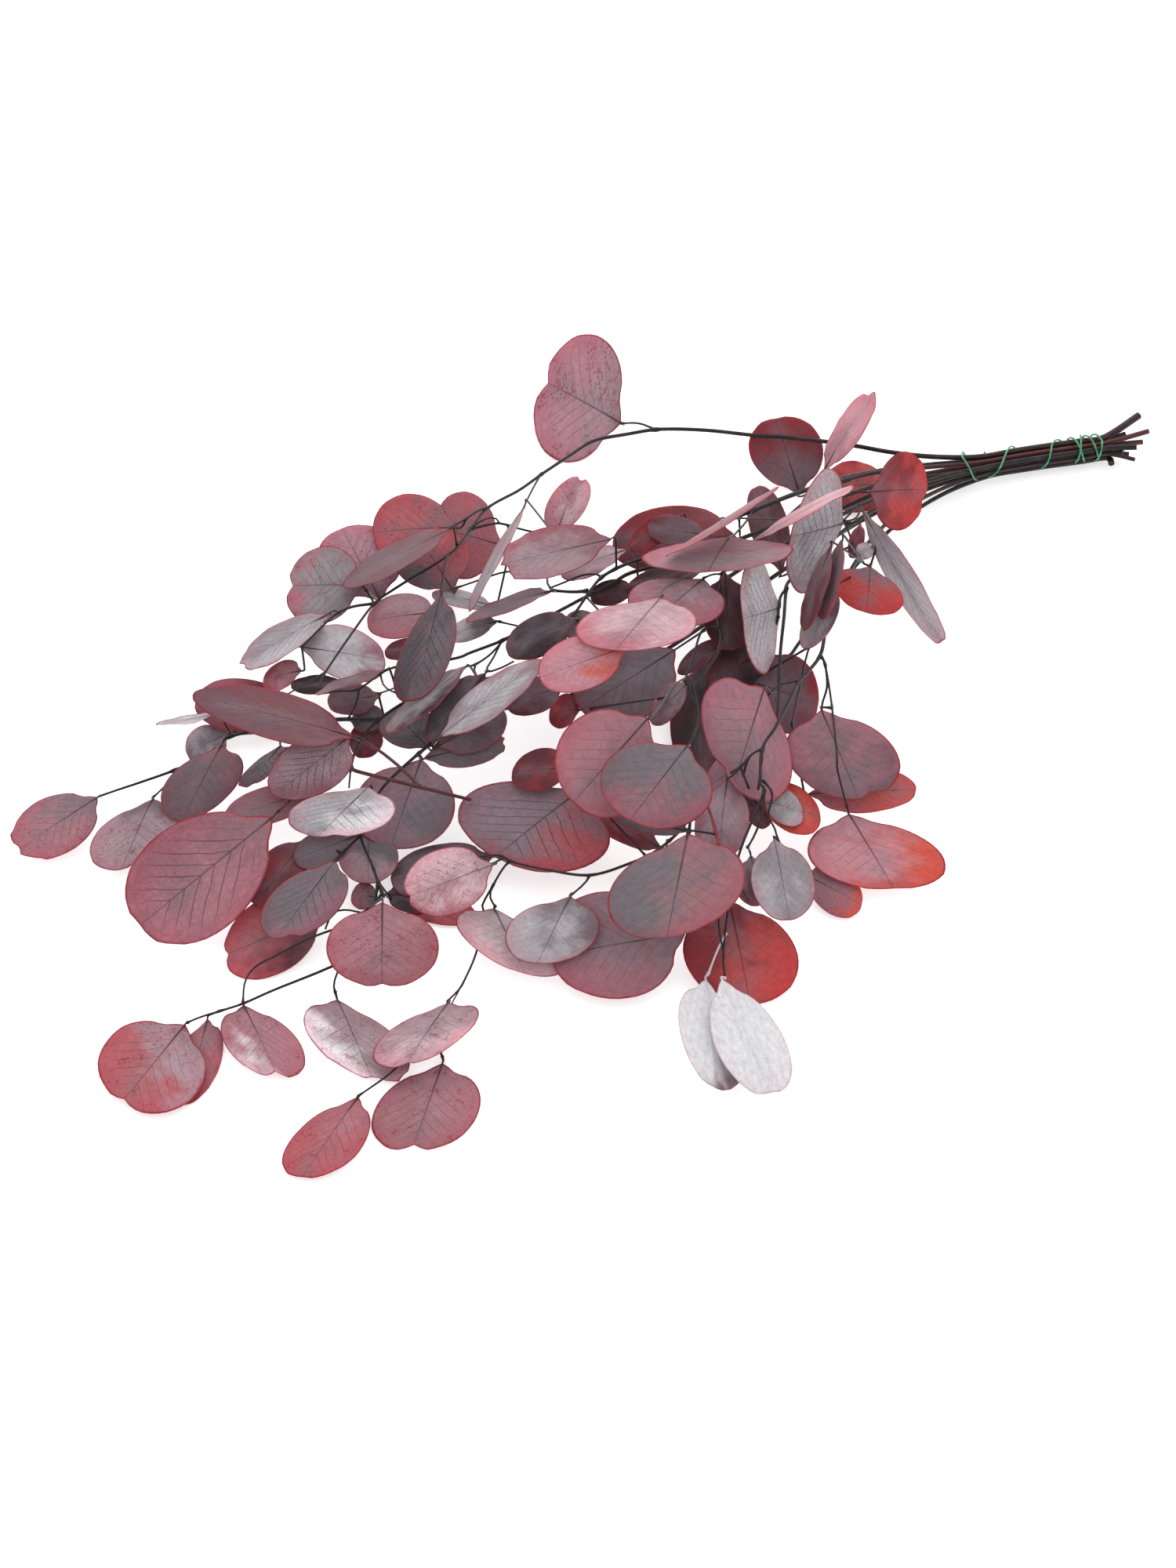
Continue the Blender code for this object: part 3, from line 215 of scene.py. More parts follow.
# Stems and twigs: radius at the start, radius at the end, traced points, and the bark if it isn't dark.
# A stem's first line goes on from its run through the bundle.
TWIGS = {
    "arch": [
        (1.3, 0.55, [(140, 174.5, 27), (118, 176.5, 27), (100, 177, 26), (84, 178, 25), (60, 180.5, 23),
         (37, 181, 21), (20, 178.5, 21), (3, 175, 23), (-10, 167, 26), (-23, 158.5, 30), (-35, 150, 35),
         (-51, 141, 42), (-60, 130, 47), (-71, 117, 52), (-98, 100, 54), (-109, 92, 54), (-119, 79, 54),
         (-134, 57, 54), (-137, 50, 54)]),
        (0.7, 0.55, [(34, 181, 21), (26, 184, 19), (17, 184, 17)]),
        (0.7, 0.55, [(-24, 158, 30), (-28, 151, 35), (-32, 143, 39)]),
        (0.8, 0.5, [(-60, 130, 47), (-52, 132, 45), (-45, 133, 43), (-36, 130.5, 40), (-27, 128.5, 37),
         (-18, 128, 35)]),
        (0.5, 0.5, [(-60, 130.5, 47), (-54, 134.5, 48), (-48, 136, 47), (-45, 133, 43)]),
        (0.55, 0.5, [(-27, 128.5, 37), (-32, 124, 37), (-38, 121.7, 38), (-44, 122, 38)]),
        (0.7, 0.55, [(-51, 141, 42), (-56, 139.5, 46), (-63, 135, 50), (-70, 131, 53)]),
        (0.6, 0.5, [(-71, 117, 52), (-72.5, 114, 55), (-74, 104, 60), (-75, 97, 62)]),
        (0.55, 0.5, [(-109, 92, 54), (-112, 97, 52), (-115, 101.5, 49)]),
        (0.8, 0.5, [(-109, 92, 54), (-120, 90.5, 55), (-128, 87, 55), (-134, 82, 54), (-146, 70, 50)]),
        (0.5, 0.4, [(-134, 57, 54), (-141, 53, 52), (-153, 46, 49)]),
    ],
    "mid": [
        (1.5, 0.6, [(128, 158, 27), (110, 151, 35), (95, 144, 43), (80, 138, 50), (68, 132.5, 55),
         (50, 122, 59), (35, 117, 61), (19, 112, 62), (7, 105.5, 62), (0, 97, 62), (-8, 86, 61),
         (-22, 75, 58), (-36, 65, 54)]),
        (0.6, 0.5, [(7, 105.5, 62), (4, 107, 62), (-3, 106.5, 61), (-13, 102.5, 59), (-20, 99.8, 57)]),
        (1.0, 0.7, [(0, 98.5, 62), (-8, 98, 60), (-18, 98.7, 58)]),
        (0.7, 0.5, [(-18, 98.7, 58), (-20.5, 102, 55), (-22, 107, 50), (-32, 109, 46), (-43, 108, 44),
         (-50, 106, 43), (-60, 102.5, 43), (-69, 99.5, 43)]),
        (0.7, 0.55, [(84, 139.5, 48), (80, 133, 54), (74, 126.5, 60)]),
    ],
    "low": [
        (1.35, 0.5, [(128, 148, 27), (110, 139, 34), (95, 132, 40), (75, 124, 46), (50, 115, 50),
         (30, 110, 52), (20, 107, 52), (12, 102, 52), (4, 98, 52), (-4, 94, 52), (-21, 85, 52), (-32, 80, 52),
         (-43, 73.5, 52), (-60, 67, 52), (-66, 64.5, 52), (-80, 62, 51), (-94, 60.5, 51), (-104, 57.5, 51),
         (-117, 48.5, 51), (-126, 47.5, 50), (-137, 46.5, 49)]),
        (0.6, 0.5, [(-43, 73.5, 52), (-50, 66, 53), (-57.5, 61, 55), (-62, 60, 56)]),
        (0.6, 0.5, [(-44, 73, 52), (-48, 65, 53), (-52, 57.5, 54), (-45, 59, 53), (-38, 62.5, 50)]),
        (0.5, 0.5, [(-57.5, 61, 55), (-58, 58, 55), (-57, 55, 54)]),
        (0.5, 0.45, [(-33, 80, 52), (-42, 82, 51), (-47, 83.3, 50)]),
        (0.55, 0.5, [(-117, 48.5, 51), (-118, 42, 49), (-122.5, 33, 45)]),
        (0.5, 0.4, [(-106, 56.5, 51), (-104, 50, 49), (-98, 46.5, 49), (-91, 45.5, 50)]),
        (0.5, 0.4, [(-84, 61.5, 51), (-88, 57, 50), (-95, 50.5, 48), (-100, 48.5, 46), (-107, 46, 44)]),
    ],
    "left": [
        (1.4, 0.65, [(120, 140, 15), (90, 120, 21), (60, 98, 27), (30, 80, 31), (0, 67, 34), (-25, 59, 36),
         (-50, 54, 38), (-70, 50, 41), (-90, 43.5, 44), (-107, 32.5, 44), (-117, 21, 42), (-121, 8.5, 40)]),
        (0.7, 0.6, [(-121, 8.5, 40), (-125, 12.5, 40)]),
        (0.8, 0.65, [(-121, 8.5, 40), (-128, 6.5, 39), (-133, 3.5, 38), (-145, -2.5, 36), (-158, -14, 33)],
         "red"),
        (0.5, 0.45, [(-121, 8.5, 40), (-122, -2, 37)]),
        (1.0, 0.9, [(-121, 8.5, 40), (-118, 6.5, 42), (-100, 2, 49), (-86, -1.5, 50), (-72, -5, 44),
         (-60, -8, 36)], "red brown"),
        (0.9, 0.8, [(-86, -1.5, 50), (-92, 5, 51), (-100, 12, 51), (-108, 18, 53), (-119, 24.5, 53)],
         "red brown"),
        (1.2, 0.55, [(-107, 32.5, 44), (-125, 33, 39), (-150, 31, 33), (-182, 24.5, 28), (-188, 19, 28),
         (-200, 12, 26), (-211, 7, 24), (-228, 1, 20), (-240, -3, 17), (-250, -6.5, 14)]),
        (0.55, 0.5, [(-211, 7, 24), (-213, 2, 21), (-222, -7, 18)]),
    ],
    "fan": [
        (1.3, 0.6, [(115, 122, 11), (80, 96, 16), (50, 75, 21), (20, 57, 25), (-10, 45, 29), (-40, 39, 34),
         (-60, 33, 40), (-78, 22, 45), (-95, 8, 43), (-106, -3.5, 41), (-112, -15, 37), (-116, -26, 34),
         (-110, -42, 31), (-104, -58, 28)]),
        (0.7, 0.6, [(-116, -26, 34), (-123, -33, 33), (-129.5, -39.5, 32)]),
        (0.9, 0.5, [(-107, -50, 29), (-112, -70, 22), (-125, -89, 14), (-134, -94.5, 12), (-160, -105, 10),
         (-176, -112, 9), (-190, -116.5, 8), (-198, -119, 8), (-205, -122, 7)]),
        (0.7, 0.5, [(-105, -56, 28), (-115, -66, 26), (-127, -73, 24), (-140, -78, 22), (-160, -88, 19),
         (-170, -93.5, 16), (-175, -101, 12), (-176, -111, 9)]),
        (0.55, 0.5, [(-125, -89, 14), (-129.5, -101, 11), (-129, -106, 9), (-128, -109.5, 8)]),
        (0.5, 0.5, [(-115, -66, 26), (-121, -64.5, 26), (-127, -64.5, 25), (-131, -67, 23), (-134, -74, 22)]),
    ],
    "front": [
        (1.1, 0.5, [(130, 112, 10), (110, 80, 12), (90, 45, 15), (70, 10, 18), (50, -20, 22), (35, -34, 26),
         (20, -41, 30), (1, -46.5, 33), (-20, -44, 36), (-38, -40, 38), (-45, -36.5, 38), (-53, -37, 37),
         (-62, -37.5, 36)]),
        (0.6, 0.5, [(1, -46.5, 33), (-2, -51, 31), (-9, -57, 29)]),
        (0.6, 0.5, [(-43, -37.5, 38), (-49, -41, 41)]),
        (0.6, 0.5, [(-40, -39.5, 38), (-44, -44, 33), (-50, -56, 23), (-47, -63, 21)]),
        (0.6, 0.5, [(-48, -51, 27), (-54, -62, 19), (-53, -67, 15), (-57, -86, 10), (-63, -100, 9),
         (-66, -105, 9), (-72, -111, 9)]),
        (0.4, 0.4, [(-64, -102, 9), (-69.5, -112, 8)]),
        (0.55, 0.5, [(-71, -110.5, 9), (-77, -125, 5), (-74, -141, 3.5)]),
        (0.6, 0.5, [(-77, -125, 5), (-86, -132, 6.5), (-96, -143, 8), (-104, -150, 7), (-117, -159, 3.5)]),
    ],
    "heart": [
        (1.25, 0.6, [(128, 140, 38), (105, 124, 46), (88, 116, 53), (72, 111, 58), (67, 101, 60),
         (66, 88, 61), (68, 72, 62), (60, 57, 64), (54, 50.5, 65), (56, 40, 65), (55.5, 30, 65),
         (52, 20, 65)]),
        (0.65, 0.5, [(67, 80, 61), (61, 80, 64), (57, 76, 66), (53, 62, 67), (50, 54, 67), (53, 46, 66),
         (56, 40, 65)]),
        (0.6, 0.5, [(50, 54, 67), (46, 52, 67), (42, 48, 67), (37, 40, 66), (32, 34, 65)], "pale"),
        (0.6, 0.5, [(72, 111, 58), (58, 110, 67), (48, 105, 74), (38, 99, 79), (37, 95, 80)], "pale"),
        (0.55, 0.5, [(70, 107, 59), (64, 107, 64), (59, 105, 67)]),
        (0.6, 0.5, [(53, 24, 65), (55, 5, 58), (53, -12, 53), (51, -25, 50)]),
        (0.7, 0.5, [(54, 0, 56), (52, -22, 42), (50, -50, 30), (50, -74, 24)]),
        (0.8, 0.8, [(54.5, -5, 55), (60, -10, 57), (63, -17, 60), (67, -31, 66)], "red"),
    ],
    "right": [
        (1.15, 0.5, [(138, 126, 30), (129, 108, 41), (128, 97, 46), (122, 84, 52), (119, 67, 59),
         (112, 57, 64), (108, 53, 66), (104, 45, 68), (100, 37, 69), (95, 28, 70), (89, 18, 69), (88, 0, 66),
         (90, -3, 65), (84, -18, 60), (78, -33, 54), (74, -48, 47), (72, -60, 40), (70, -75, 33),
         (69, -90, 26), (70, -99, 22)]),
        (0.7, 0.55, [(119, 65, 60), (121, 61, 60), (122, 50, 59), (119.5, 41, 57), (119.5, 37.5, 57)]),
        (0.6, 0.5, [(121, 61, 60), (123, 50, 62), (125, 35, 64), (127, 15, 64), (127, 9, 62), (129, 0, 56),
         (133, -15, 47)]),
        (0.7, 0.55, [(108, 53, 66), (104, 52, 67), (97, 50, 68), (91, 44, 68)]),
        (0.65, 0.5, [(125, 91, 49), (120, 82, 49), (113, 70, 50), (109, 54, 50), (106, 40, 49),
         (104, 31, 48)]),
        (0.6, 0.5, [(89, 18, 69), (84, 15.5, 69), (80, 11, 68), (74, 4.5, 65), (71, 2.5, 63)]),
        (0.7, 0.5, [(90, -3, 65), (89, -15, 61), (85, -26, 56), (81, -33, 52)]),
        (0.65, 0.5, [(89, 2, 66), (94, -5, 62), (92, -16, 58), (95, -22, 55), (97, -29, 51)]),
        (0.6, 0.5, [(70.5, -76, 32), (66, -85, 29), (61, -98, 22)], "white"),
        (0.55, 0.5, [(72.5, -56, 42), (67, -64, 39), (67, -75, 34), (69.5, -88, 27)]),
    ],
    "inner": [
        (1.15, 0.6, [(128, 133, 28), (112, 116, 37), (103, 104, 43), (101, 98, 45), (100, 85, 48),
         (98, 65, 51), (97, 40, 49), (95, 27, 45), (88, 12, 40), (80, 0, 34), (72, -15, 28)]),
        (0.8, 0.7, [(101.5, 100, 45), (98, 95, 47), (97, 85, 48)]),
    ],
    "crown": [
        (1.25, 0.6, [(140, 160.5, 32), (128, 156, 36), (118, 150, 40), (108, 142, 44), (100, 135, 47)]),
        (0.7, 0.55, [(122, 152, 39), (130, 149.5, 42), (136, 149, 43), (144, 149, 43)]),
        (0.7, 0.55, [(112, 145.5, 42), (124, 137, 44), (131, 134, 45), (137, 136, 44), (139, 141, 43)]),
        (0.6, 0.5, [(131, 134, 45), (135, 123, 45), (139, 114, 45), (144, 111, 44)]),
    ],
}

BARK = {"dark": dye(24, 15, 17), "brown": dye(44, 22, 22), "red": dye(118, 28, 28),
        "red brown": dye(78, 32, 33), "pale": dye(106, 92, 98), "white": dye(180, 172, 176)}

# The bark near the cut ends. It is brown unless it is named here.
CUT_BARK = {"crown": "red brown", "low": "red brown", "heart": "dark", "front": "dark"}

# The leaves' dyes, as they look in soft light. The white ones also stand for painted sheen, where a blade
# lies flat or leans back into the bright light.
DYES = {"white": dye(230, 229, 232), "chalk": dye(208, 207, 210), "pale grey": dye(190, 186, 190),
        "silver": dye(168, 164, 168), "grey": dye(138, 133, 137), "slate": dye(108, 101, 106),
        "dark grey": dye(78, 73, 77), "grey mauve": dye(132, 113, 122), "mauve": dye(144, 112, 123),
        "dark mauve": dye(100, 74, 83), "dusk": dye(108, 89, 96), "grey pink": dye(164, 139, 147),
        "pale pink": dye(206, 171, 177), "pink": dye(190, 134, 143), "pink mauve": dye(171, 124, 136),
        "dusty rose": dye(164, 111, 120), "rose mauve": dye(145, 97, 107), "rose brown": dye(149, 101, 107),
        "rose red": dye(167, 87, 94), "deep red": dye(126, 46, 52), "bright red": dye(180, 68, 66),
        "orange red": dye(196, 88, 74), "orange brown": dye(168, 94, 80), "old rose": dye(112, 68, 74),
        # Near black is painted shade, for leaves and parts of leaves deep in the bunch.
        "maroon": dye(88, 48, 55), "near black": dye(52, 37, 42)}

# Leaves of each stem: stalk end (u, v), tip (u, v), middle to one edge (u, v), height of the middle,
# facing (0 lies level, 1 faces the eye), the main dye, the second dye, and where that lies: towards the
# listed edge, towards the tip, and its share. Where a leaf isn't as usual, the outline and the marks follow,
# and how much nearer the listed edge and the tip come.
USUAL = ("round", "clear", 0, 0)
LEAVES = [
    ("arch", [
        ((17, 184), (-24, 206), (12, 31), 16, 0.7, "pink mauve", "grey pink", (0, -0.7, -0.15), "heart",
         "flecked"),
        ((-17, 126), (-5, 157), (10.5, 0), 33, 1.0, "pink", "pale pink", (0.8, 0.1, -0.1), "heart near",
         "flecked"),
        ((-32, 143), (-59, 91.5), (4.5, 2.3), 49, 0.9, "grey pink", "silver", (0, 0.5, 0), "lens", "clear",
         16),
        ((-44, 122), (-80, 131), (3, 22), 30, 0.6, "rose mauve", "rose red", (0.3, -0.4, 0)),
        ((-66, 131), (-110, 128), (-2, 18), 37, 0.6, "rose red", "slate", (0, -0.9, -0.35), "round",
         "flecked"),
        ((-70, 130.5), (-122, 102), (3.5, -6.5), 59, 0.8, "old rose", "dusk", (0, 0.5, 0), "lens", "clear",
         15),
        ((-106, 94), (-126, 131), (20, 8), 36, 0.6, "pink mauve", "slate", (0, -0.9, -0.3), "round",
         "flecked"),
        ((-114, 101), (-154, 101), (3, 20), 42, 0.6, "grey", "dusty rose", (-0.2, 0.9, -0.3), "heart",
         "flecked"),
        ((-131, 88), (-177, 60), (4.2, -7), 49, 0.8, "silver", "grey", (-0.5, 0.3, -0.1), "ruffled", "veined",
         14),
        ((-147, 70), (-103, 63), (2, -14.5), 45, 0.7, "pale grey", "mauve", (0, 0.9, -0.3)),
        ((-76, 88), (-113, 83), (0, 11.5), 46, 0.8, "dusty rose", "grey pink", (0.6, -0.2, -0.1)),
        ((-75, 97), (-89, 42), (14.5, 4), 63, 0.8, "dark grey", "slate", (0.7, 0.2, -0.1), "pear", "net"),
        ((-80, 70), (-104, 67), (0, 5.5), 40, 0.6, "deep red", "maroon", (0, 0.3, 0)),
        ((-146, 58), (-166, 53), (1.5, 8), 40, 0.6, "pink", "rose red", (0, 0.5, -0.1), "round", "flecked"),
        ((-48, 91), (-80, 97), (1, 4.5), 40, 0.4, "pale grey", "silver", (0, 0.4, 0)),
    ]),
    ("mid", [
        ((-69, 99), (-88, 128), (17, 8), 43, 0.6, "rose red", "slate", (-0.9, -0.3, -0.1), "ruffled",
         "flecked"),
        ((12, 125), (-44, 112), (-2, 12.5), 60, 0.8, "grey pink", "rose brown", (0.6, -0.5, -0.1), "bitten"),
        ((20, 120), (-14, 106), (2, -6), 58, 0.7, "grey pink", "mauve", (0, 0.4, 0), "round", "clear", 8),
        ((-18.5, 99), (-60, 84.5), (-1.5, -4.5), 57, 0.8, "dusk", "grey mauve", (-0.8, 0.4, -0.1), "lens",
         "clear", 14),
        ((10, 68), (-11, 86), (6, 7), 52, 0.7, "dark grey", "slate", (0, 0.3, 0)),
        ((-6, 84), (-42, 68), (-3, 10), 65, 0.7, "dark grey", "near black", (-0.3, -0.5, 0)),
        ((-12, 50), (-42, 40), (-3, 9), 44, 0.6, "dark mauve", "maroon", (0, 0.5, -0.1)),
        ((20, 70), (-25, 54), (-5, 13), 68, 0.8, "pink", "orange red", (-0.2, -0.9, -0.2)),
        ((76, 126), (12, 124), (3, 17), 42, 0.6, "maroon", "deep red", (0.4, -0.3, 0)),
        ((48, 137), (21, 120), (-3, 6), 64, 0.7, "deep red", "maroon", (0, 0.5, -0.2)),
        ((62, 127), (30, 130), (-1, 8), 67, 0.7, "dark mauve", "maroon", (0.2, 0.2, -0.2)),
        ((72, 126), (61, 108), (38, 1), 72, -0.3, "grey pink", "dusty rose", (-0.3, -0.9, -0.1), "ruffled"),
        ((62, 111), (20, 101), (0, 6), 56, 0.5, "maroon", "near black", (0, 0.4, 0)),
        ((24, 100), (1, 95), (-1, 6.5), 48, 0.6, "maroon", "near black", (0, 0.3, 0)),
    ]),
    ("low", [
        ((-46, 83), (-72, 76), (1, 6.5), 48, 0.7, "grey", "pale grey", (0, 0.4, 0), "round", "veined"),
        ((-103, 58.5), (-137, 47), (1, -2.4), 56, 0.8, "maroon", "dusk", (0, 0.5, 0), "lens", "clear", 12),
        ((-106, 45), (-133, 41), (-2, 8), 43, 0.6, "dark mauve", "dark mauve", (0, 0.4, 0)),
        ((-122, 33), (-104, 33), (1, 7), 39, 0.6, "dark grey", "slate", (0, 0.4, 0)),
        ((-104, 28), (-121, 17), (-4, 8), 34, 0.6, "deep red", "maroon", (0, 0.3, 0)),
        ((-122, 50), (-152, 50), (0, 5), 40, 0.5, "near black", "near black", (0, 0.4, -0.2)),
        ((-62, 60), (-101, 28), (3.5, -5), 62, 0.8, "grey", "near black", (0.9, -0.2, -0.2), "lens", "clear",
         14),
        ((-52, 57), (-80, 24), (-8, 6), 58, 0.8, "near black", "dark grey", (0, 0.3, 0), "lens"),
    ]),
    ("fan", [
        ((-84, 13), (-42, 22), (3, -9), 49, 0.7, "slate", "orange brown", (-0.9, 0.1, -0.35), "ruffled",
         "veined"),
        ((-77, 19), (-42, 37), (6, -11), 54, 0.7, "dark mauve", "slate", (0, 0.4, 0)),
        ((-76, 24), (-26, 61), (5.5, -7.5), 66, 0.8, "silver", "grey", (0.3, 0.4, -0.1), "lens", "veined",
         10),
        ((-81, 18), (-101, 38), (-12, -6), 39, 0.7, "slate", "grey", (-0.4, 0.4, 0), "round", "veined"),
    ]),
    ("left", [
        ((-119, 24), (-197, 44), (2, 12.5), 54, 0.9, "old rose", "dark mauve", (-0.5, 0.4, -0.1), "lens",
         "clear", -10),
        ((-148, 36), (-201, 43), (3, 14), 27, 0.7, "old rose", "rose mauve", (0.4, 0.7, -0.1), "round",
         "flecked"),
        ((-190, 36), (-219, 31.5), (0.4, 2.2), 33, 0.8, "white", "pale grey", (0, 0.3, 0), "lens", "clear",
         11),
        ((-183, 26), (-205, 15), (-4, 9), 23, 0.7, "slate", "silver", (0.3, 0.3, -0.1), "round", "flecked"),
        ((-157, 20), (-172, -1), (11, 4), 25, 0.7, "grey", "slate", (0, -0.5, -0.1), "ruffled", "net"),
        ((-122, 24), (-160, -6), (13, -9), 45, 0.9, "grey pink", "mauve", (0.2, 0.5, 0), "egg", "net"),
        ((-187, 20), (-207, -19), (19, 1), 26, 0.8, "dusk", "rose brown", (0.1, -0.6, -0.25), "egg"),
        ((-222, -7), (-238, -44), (23, 3), 16, 0.6, "grey pink", "slate", (0.2, -0.9, -0.3), "cleft near",
         "flecked"),
        ((-250, -6.5), (-291, -34), (-11, 11), 12, 0.6, "dusty rose", "grey mauve", (0.2, -0.6, -0.1),
         "ruffled", "flecked"),
        ((-161, -17), (-231, -74), (-19, 22), 32, 1.0, "rose mauve", "dusty rose", (-0.6, 0.3, 0), "blunt",
         "veined"),
        ((-135, -2), (-186, -18), (-3, 9), 29, 0.7, "rose brown", "mauve", (0, 0.5, 0)),
    ]),
    ("fan", [
        ((-85, 13), (-101, -33), (25, -5), 31, 0.75, "mauve", "slate", (0.8, 0.1, -0.05)),
        # This blade turns white towards its listed edge: painted sheen where it catches the bright light.
        ((-112, -1.5), (-138, -27), (25, -3), 49, 0.9, "silver", "white", (0.9, 0.2, -0.1), "cleft near",
         "veined"),
        ((-117, -26), (-150, -39), (-3, 9), 26, 0.7, "dusk", "slate", (0, 0.4, 0)),
        ((-112, -22), (-112, -51), (15.5, 0), 22, 0.6, "slate", "grey pink", (-0.4, 0.7, 0)),
        ((-129, -39), (-159, -79), (18, -3), 33, 0.9, "slate", "mauve", (0.7, 0.5, -0.1), "cleft near",
         "veined"),
        ((-133, -66), (-186, -88), (3, -20), 14, 0.7, "rose red", "maroon", (0.2, -0.9, -0.15), "cleft"),
        ((-143, -28), (-170, -62), (10, -6), 15, 0.5, "deep red", "maroon", (0, -0.4, 0)),
        ((-105, -60), (-105, -104), (29, 0), 32, 0.8, "dusty rose", "rose brown", (0.4, 0.5, 0), "cleft",
         "flecked"),
        ((-107, -58), (-121, -57), (1, 7), 10, 0.5, "dark mauve", "rose mauve", (0, 0.5, 0)),
        ((-104, -56), (-78, -60), (2, 8), 10, 0.5, "near black", "maroon", (0, 0.5, -0.2)),
        ((-205, -122), (-238, -163), (23, -14), 5, 0, "rose red", "grey pink", (0.6, -0.7, -0.1), "cleft",
         "flecked"),
        ((-194, -119), (-205, -164), (13, 3), 1.5, 0, "rose red", "rose brown", (0, -0.5, 0), "round",
         "flecked"),
        # The next two blades turn white towards the tip, away from the listed edge: painted highlight where
        # they catch the bright light.
        ((-176, -112), (-158, -150), (20, -1), 6, 0.2, "dusty rose", "white", (-0.8, 0.6, -0.35), "heart",
         "flecked"),
        ((-128, -109.5), (-110, -151), (26, -6), 3, 0.1, "grey pink", "white", (-0.9, 0.5, -0.2), "ruffled",
         "flecked"),
    ]),
    ("front", [
        ((-4, -3), (-48, -38), (-33, 17), 34, 0.7, "grey mauve", "rose red", (-1, 0.2, -0.15), "round",
         "veined"),
        ((-48, -41), (-93, -58), (-6, 16), 44, 0.9, "pale pink", "dusty rose", (-0.6, 0.3, -0.1), "cleft",
         "flecked"),
        ((-48, -37), (-101, -50), (-3, 13), 15, 0.5, "slate", "dark grey", (0, 0.3, 0)),
    ]),
    ("fan", [
        ((-98, -60), (-57, -68), (2, 8), 5, 0.3, "deep red", "rose red", (0, 0.4, 0)),
    ]),
    ("front", [
        ((38, -33), (0, -14), (-3, -7), 20, 0.5, "deep red", "rose red", (0, 0.4, -0.1)),
        ((51, -24), (14, -16), (-1, -6), 29, 0.6, "dark grey", "slate", (0, 0.4, 0)),
        ((-9, -57), (-26, -92), (23, -2), 22, 0.7, "silver", "slate", (0.7, -0.5, -0.1)),
        ((-48, -63), (-32, -97), (27, -7), 14, 0.5, "pale pink", "silver", (0.5, -0.2, 0)),
        ((-71, -111), (-93, -144), (25, 5), 10, 0.3, "grey pink", "pale pink", (0.2, 0.5, -0.1), "cleft",
         "flecked"),
        ((-74, -142), (-90, -188), (27, 0), 0.4, 0, "rose brown", "dusty rose", (0.5, -0.6, -0.1), "heart",
         "flecked"),
        ((-117, -159), (-147, -202), (18, -2), 0.4, 0, "rose red", "dusty rose", (0.3, -0.4, -0.2), "blunt",
         "flecked"),
    ]),
    ("heart", [
        ((37, 95), (14, 68), (29, -2), 79, 0.8, "pale pink", "pink", (-0.6, 0.6, -0.1)),
        ((59, 105), (33, 82), (22, -7), 70, 0.7, "dusty rose", "grey pink", (-0.3, -0.5, -0.1)),
        ((70, 108), (72, 68), (13, 0), 52, 0.7, "maroon", "near black", (0, 0.3, -0.1)),
        ((31, 34), (-8, -10), (-20, 19), 66, 0.9, "dusty rose", "rose brown", (-0.4, 0.4, -0.1)),
        ((51, 20), (21, -19), (-25, 13), 70, 0.9, "slate", "rose mauve", (-0.5, 0.7, -0.05)),
        ((45, 69), (-4, 37), (14, -16), 46, 0.7, "dark mauve", "slate", (0.3, -0.5, 0)),
        ((51, 52), (32, 31), (4, -6), 60, 0.8, "dark mauve", "grey mauve", (0, -0.4, 0)),
        ((68, 70), (46, 60), (3, 8), 38, 0.7, "maroon", "dark mauve", (0, 0.4, 0)),
        ((-4, 38), (-20, 36), (1, 9), 41, 0.6, "deep red", "bright red", (0, 0.3, -0.2)),
        ((-8, 8), (-39, 6), (2, 11), 36, 0.6, "deep red", "maroon", (0, 0.5, 0)),
    ]),
    ("front", [
        # A low leaf deep under the others, near black as painted shade of the hollow it fills.
        ((62, 66), (58, 4), (18, 0), 6, 0.15, "near black", "maroon", (0, 0.4, -0.1)),
    ]),
    ("heart", [
        ((50, -76), (-20, -88), (-8, 27), 18, 0.6, "rose mauve", "grey mauve", (0.5, -0.4, 0)),
        ((51, -25), (40, -79), (35, 4), 50, 0.85, "slate", "rose brown", (0.9, 0.1, 0)),
    ]),
    ("right", [
        ((90, 49), (74, -1), (22, -22), 60, 0.9, "mauve", "dusty rose", (0.2, -0.4, 0), "cleft far"),
        ((84, 52), (118, 40), (3, 20), 43, 0.8, "dark mauve", "deep red", (0.5, 0.6, -0.25)),
        ((119, 38), (138, -8), (28, 2), 52, 0.8, "rose mauve", "dusk", (0.2, 0.6, -0.05), "cleft near"),
        ((112, -5), (168, -3), (1, 11), 38, 0.6, "rose red", "orange red", (0, 0.6, -0.1)),
        ((71, 3), (66, -40), (14, 0), 40, 0.8, "grey pink", "mauve", (0, 0.4, 0)),
        ((133, -15), (157, -55), (34, 1), 36, 0.8, "pink", "orange red", (0.7, 0.4, -0.1), "blunt"),
        ((110, -46), (140, -62), (-3, -12), 20, 0.6, "rose mauve", "orange red", (0, 0.9, -0.2)),
        ((95, -28), (103, -70), (16, 2), 42, 0.8, "grey", "silver", (-0.4, 0.3, 0)),
        ((83, -36), (88, -62), (8, 0), 38, 0.7, "grey mauve", "dusk", (0, 0.4, 0)),
        ((76, -46), (89, -61), (-5, -5), 34, 0.7, "dusk", "rose red", (0, 0.6, -0.1)),
        ((88, -8), (110, -15), (-1, 10), 44, 0.7, "grey", "silver", (0, 0.5, 0), "round", "veined"),
        ((86, -8), (119, -17), (1, -13), 39, 0.6, "orange red", "bright red", (0, 0.4, -0.1)),
        ((78, -4), (92, -22), (5, 4), 38, 0.7, "dark mauve", "maroon", (0, 0.3, 0)),
        ((72, -59), (83, -113), (29, 1), 12, 0.7, "bright red", "deep red", (-0.8, -0.3, 0)),
        # The next two blades are painted white as sheen. On the first, dusk towards the listed edge is
        # painted shade under the overlapping leaf.
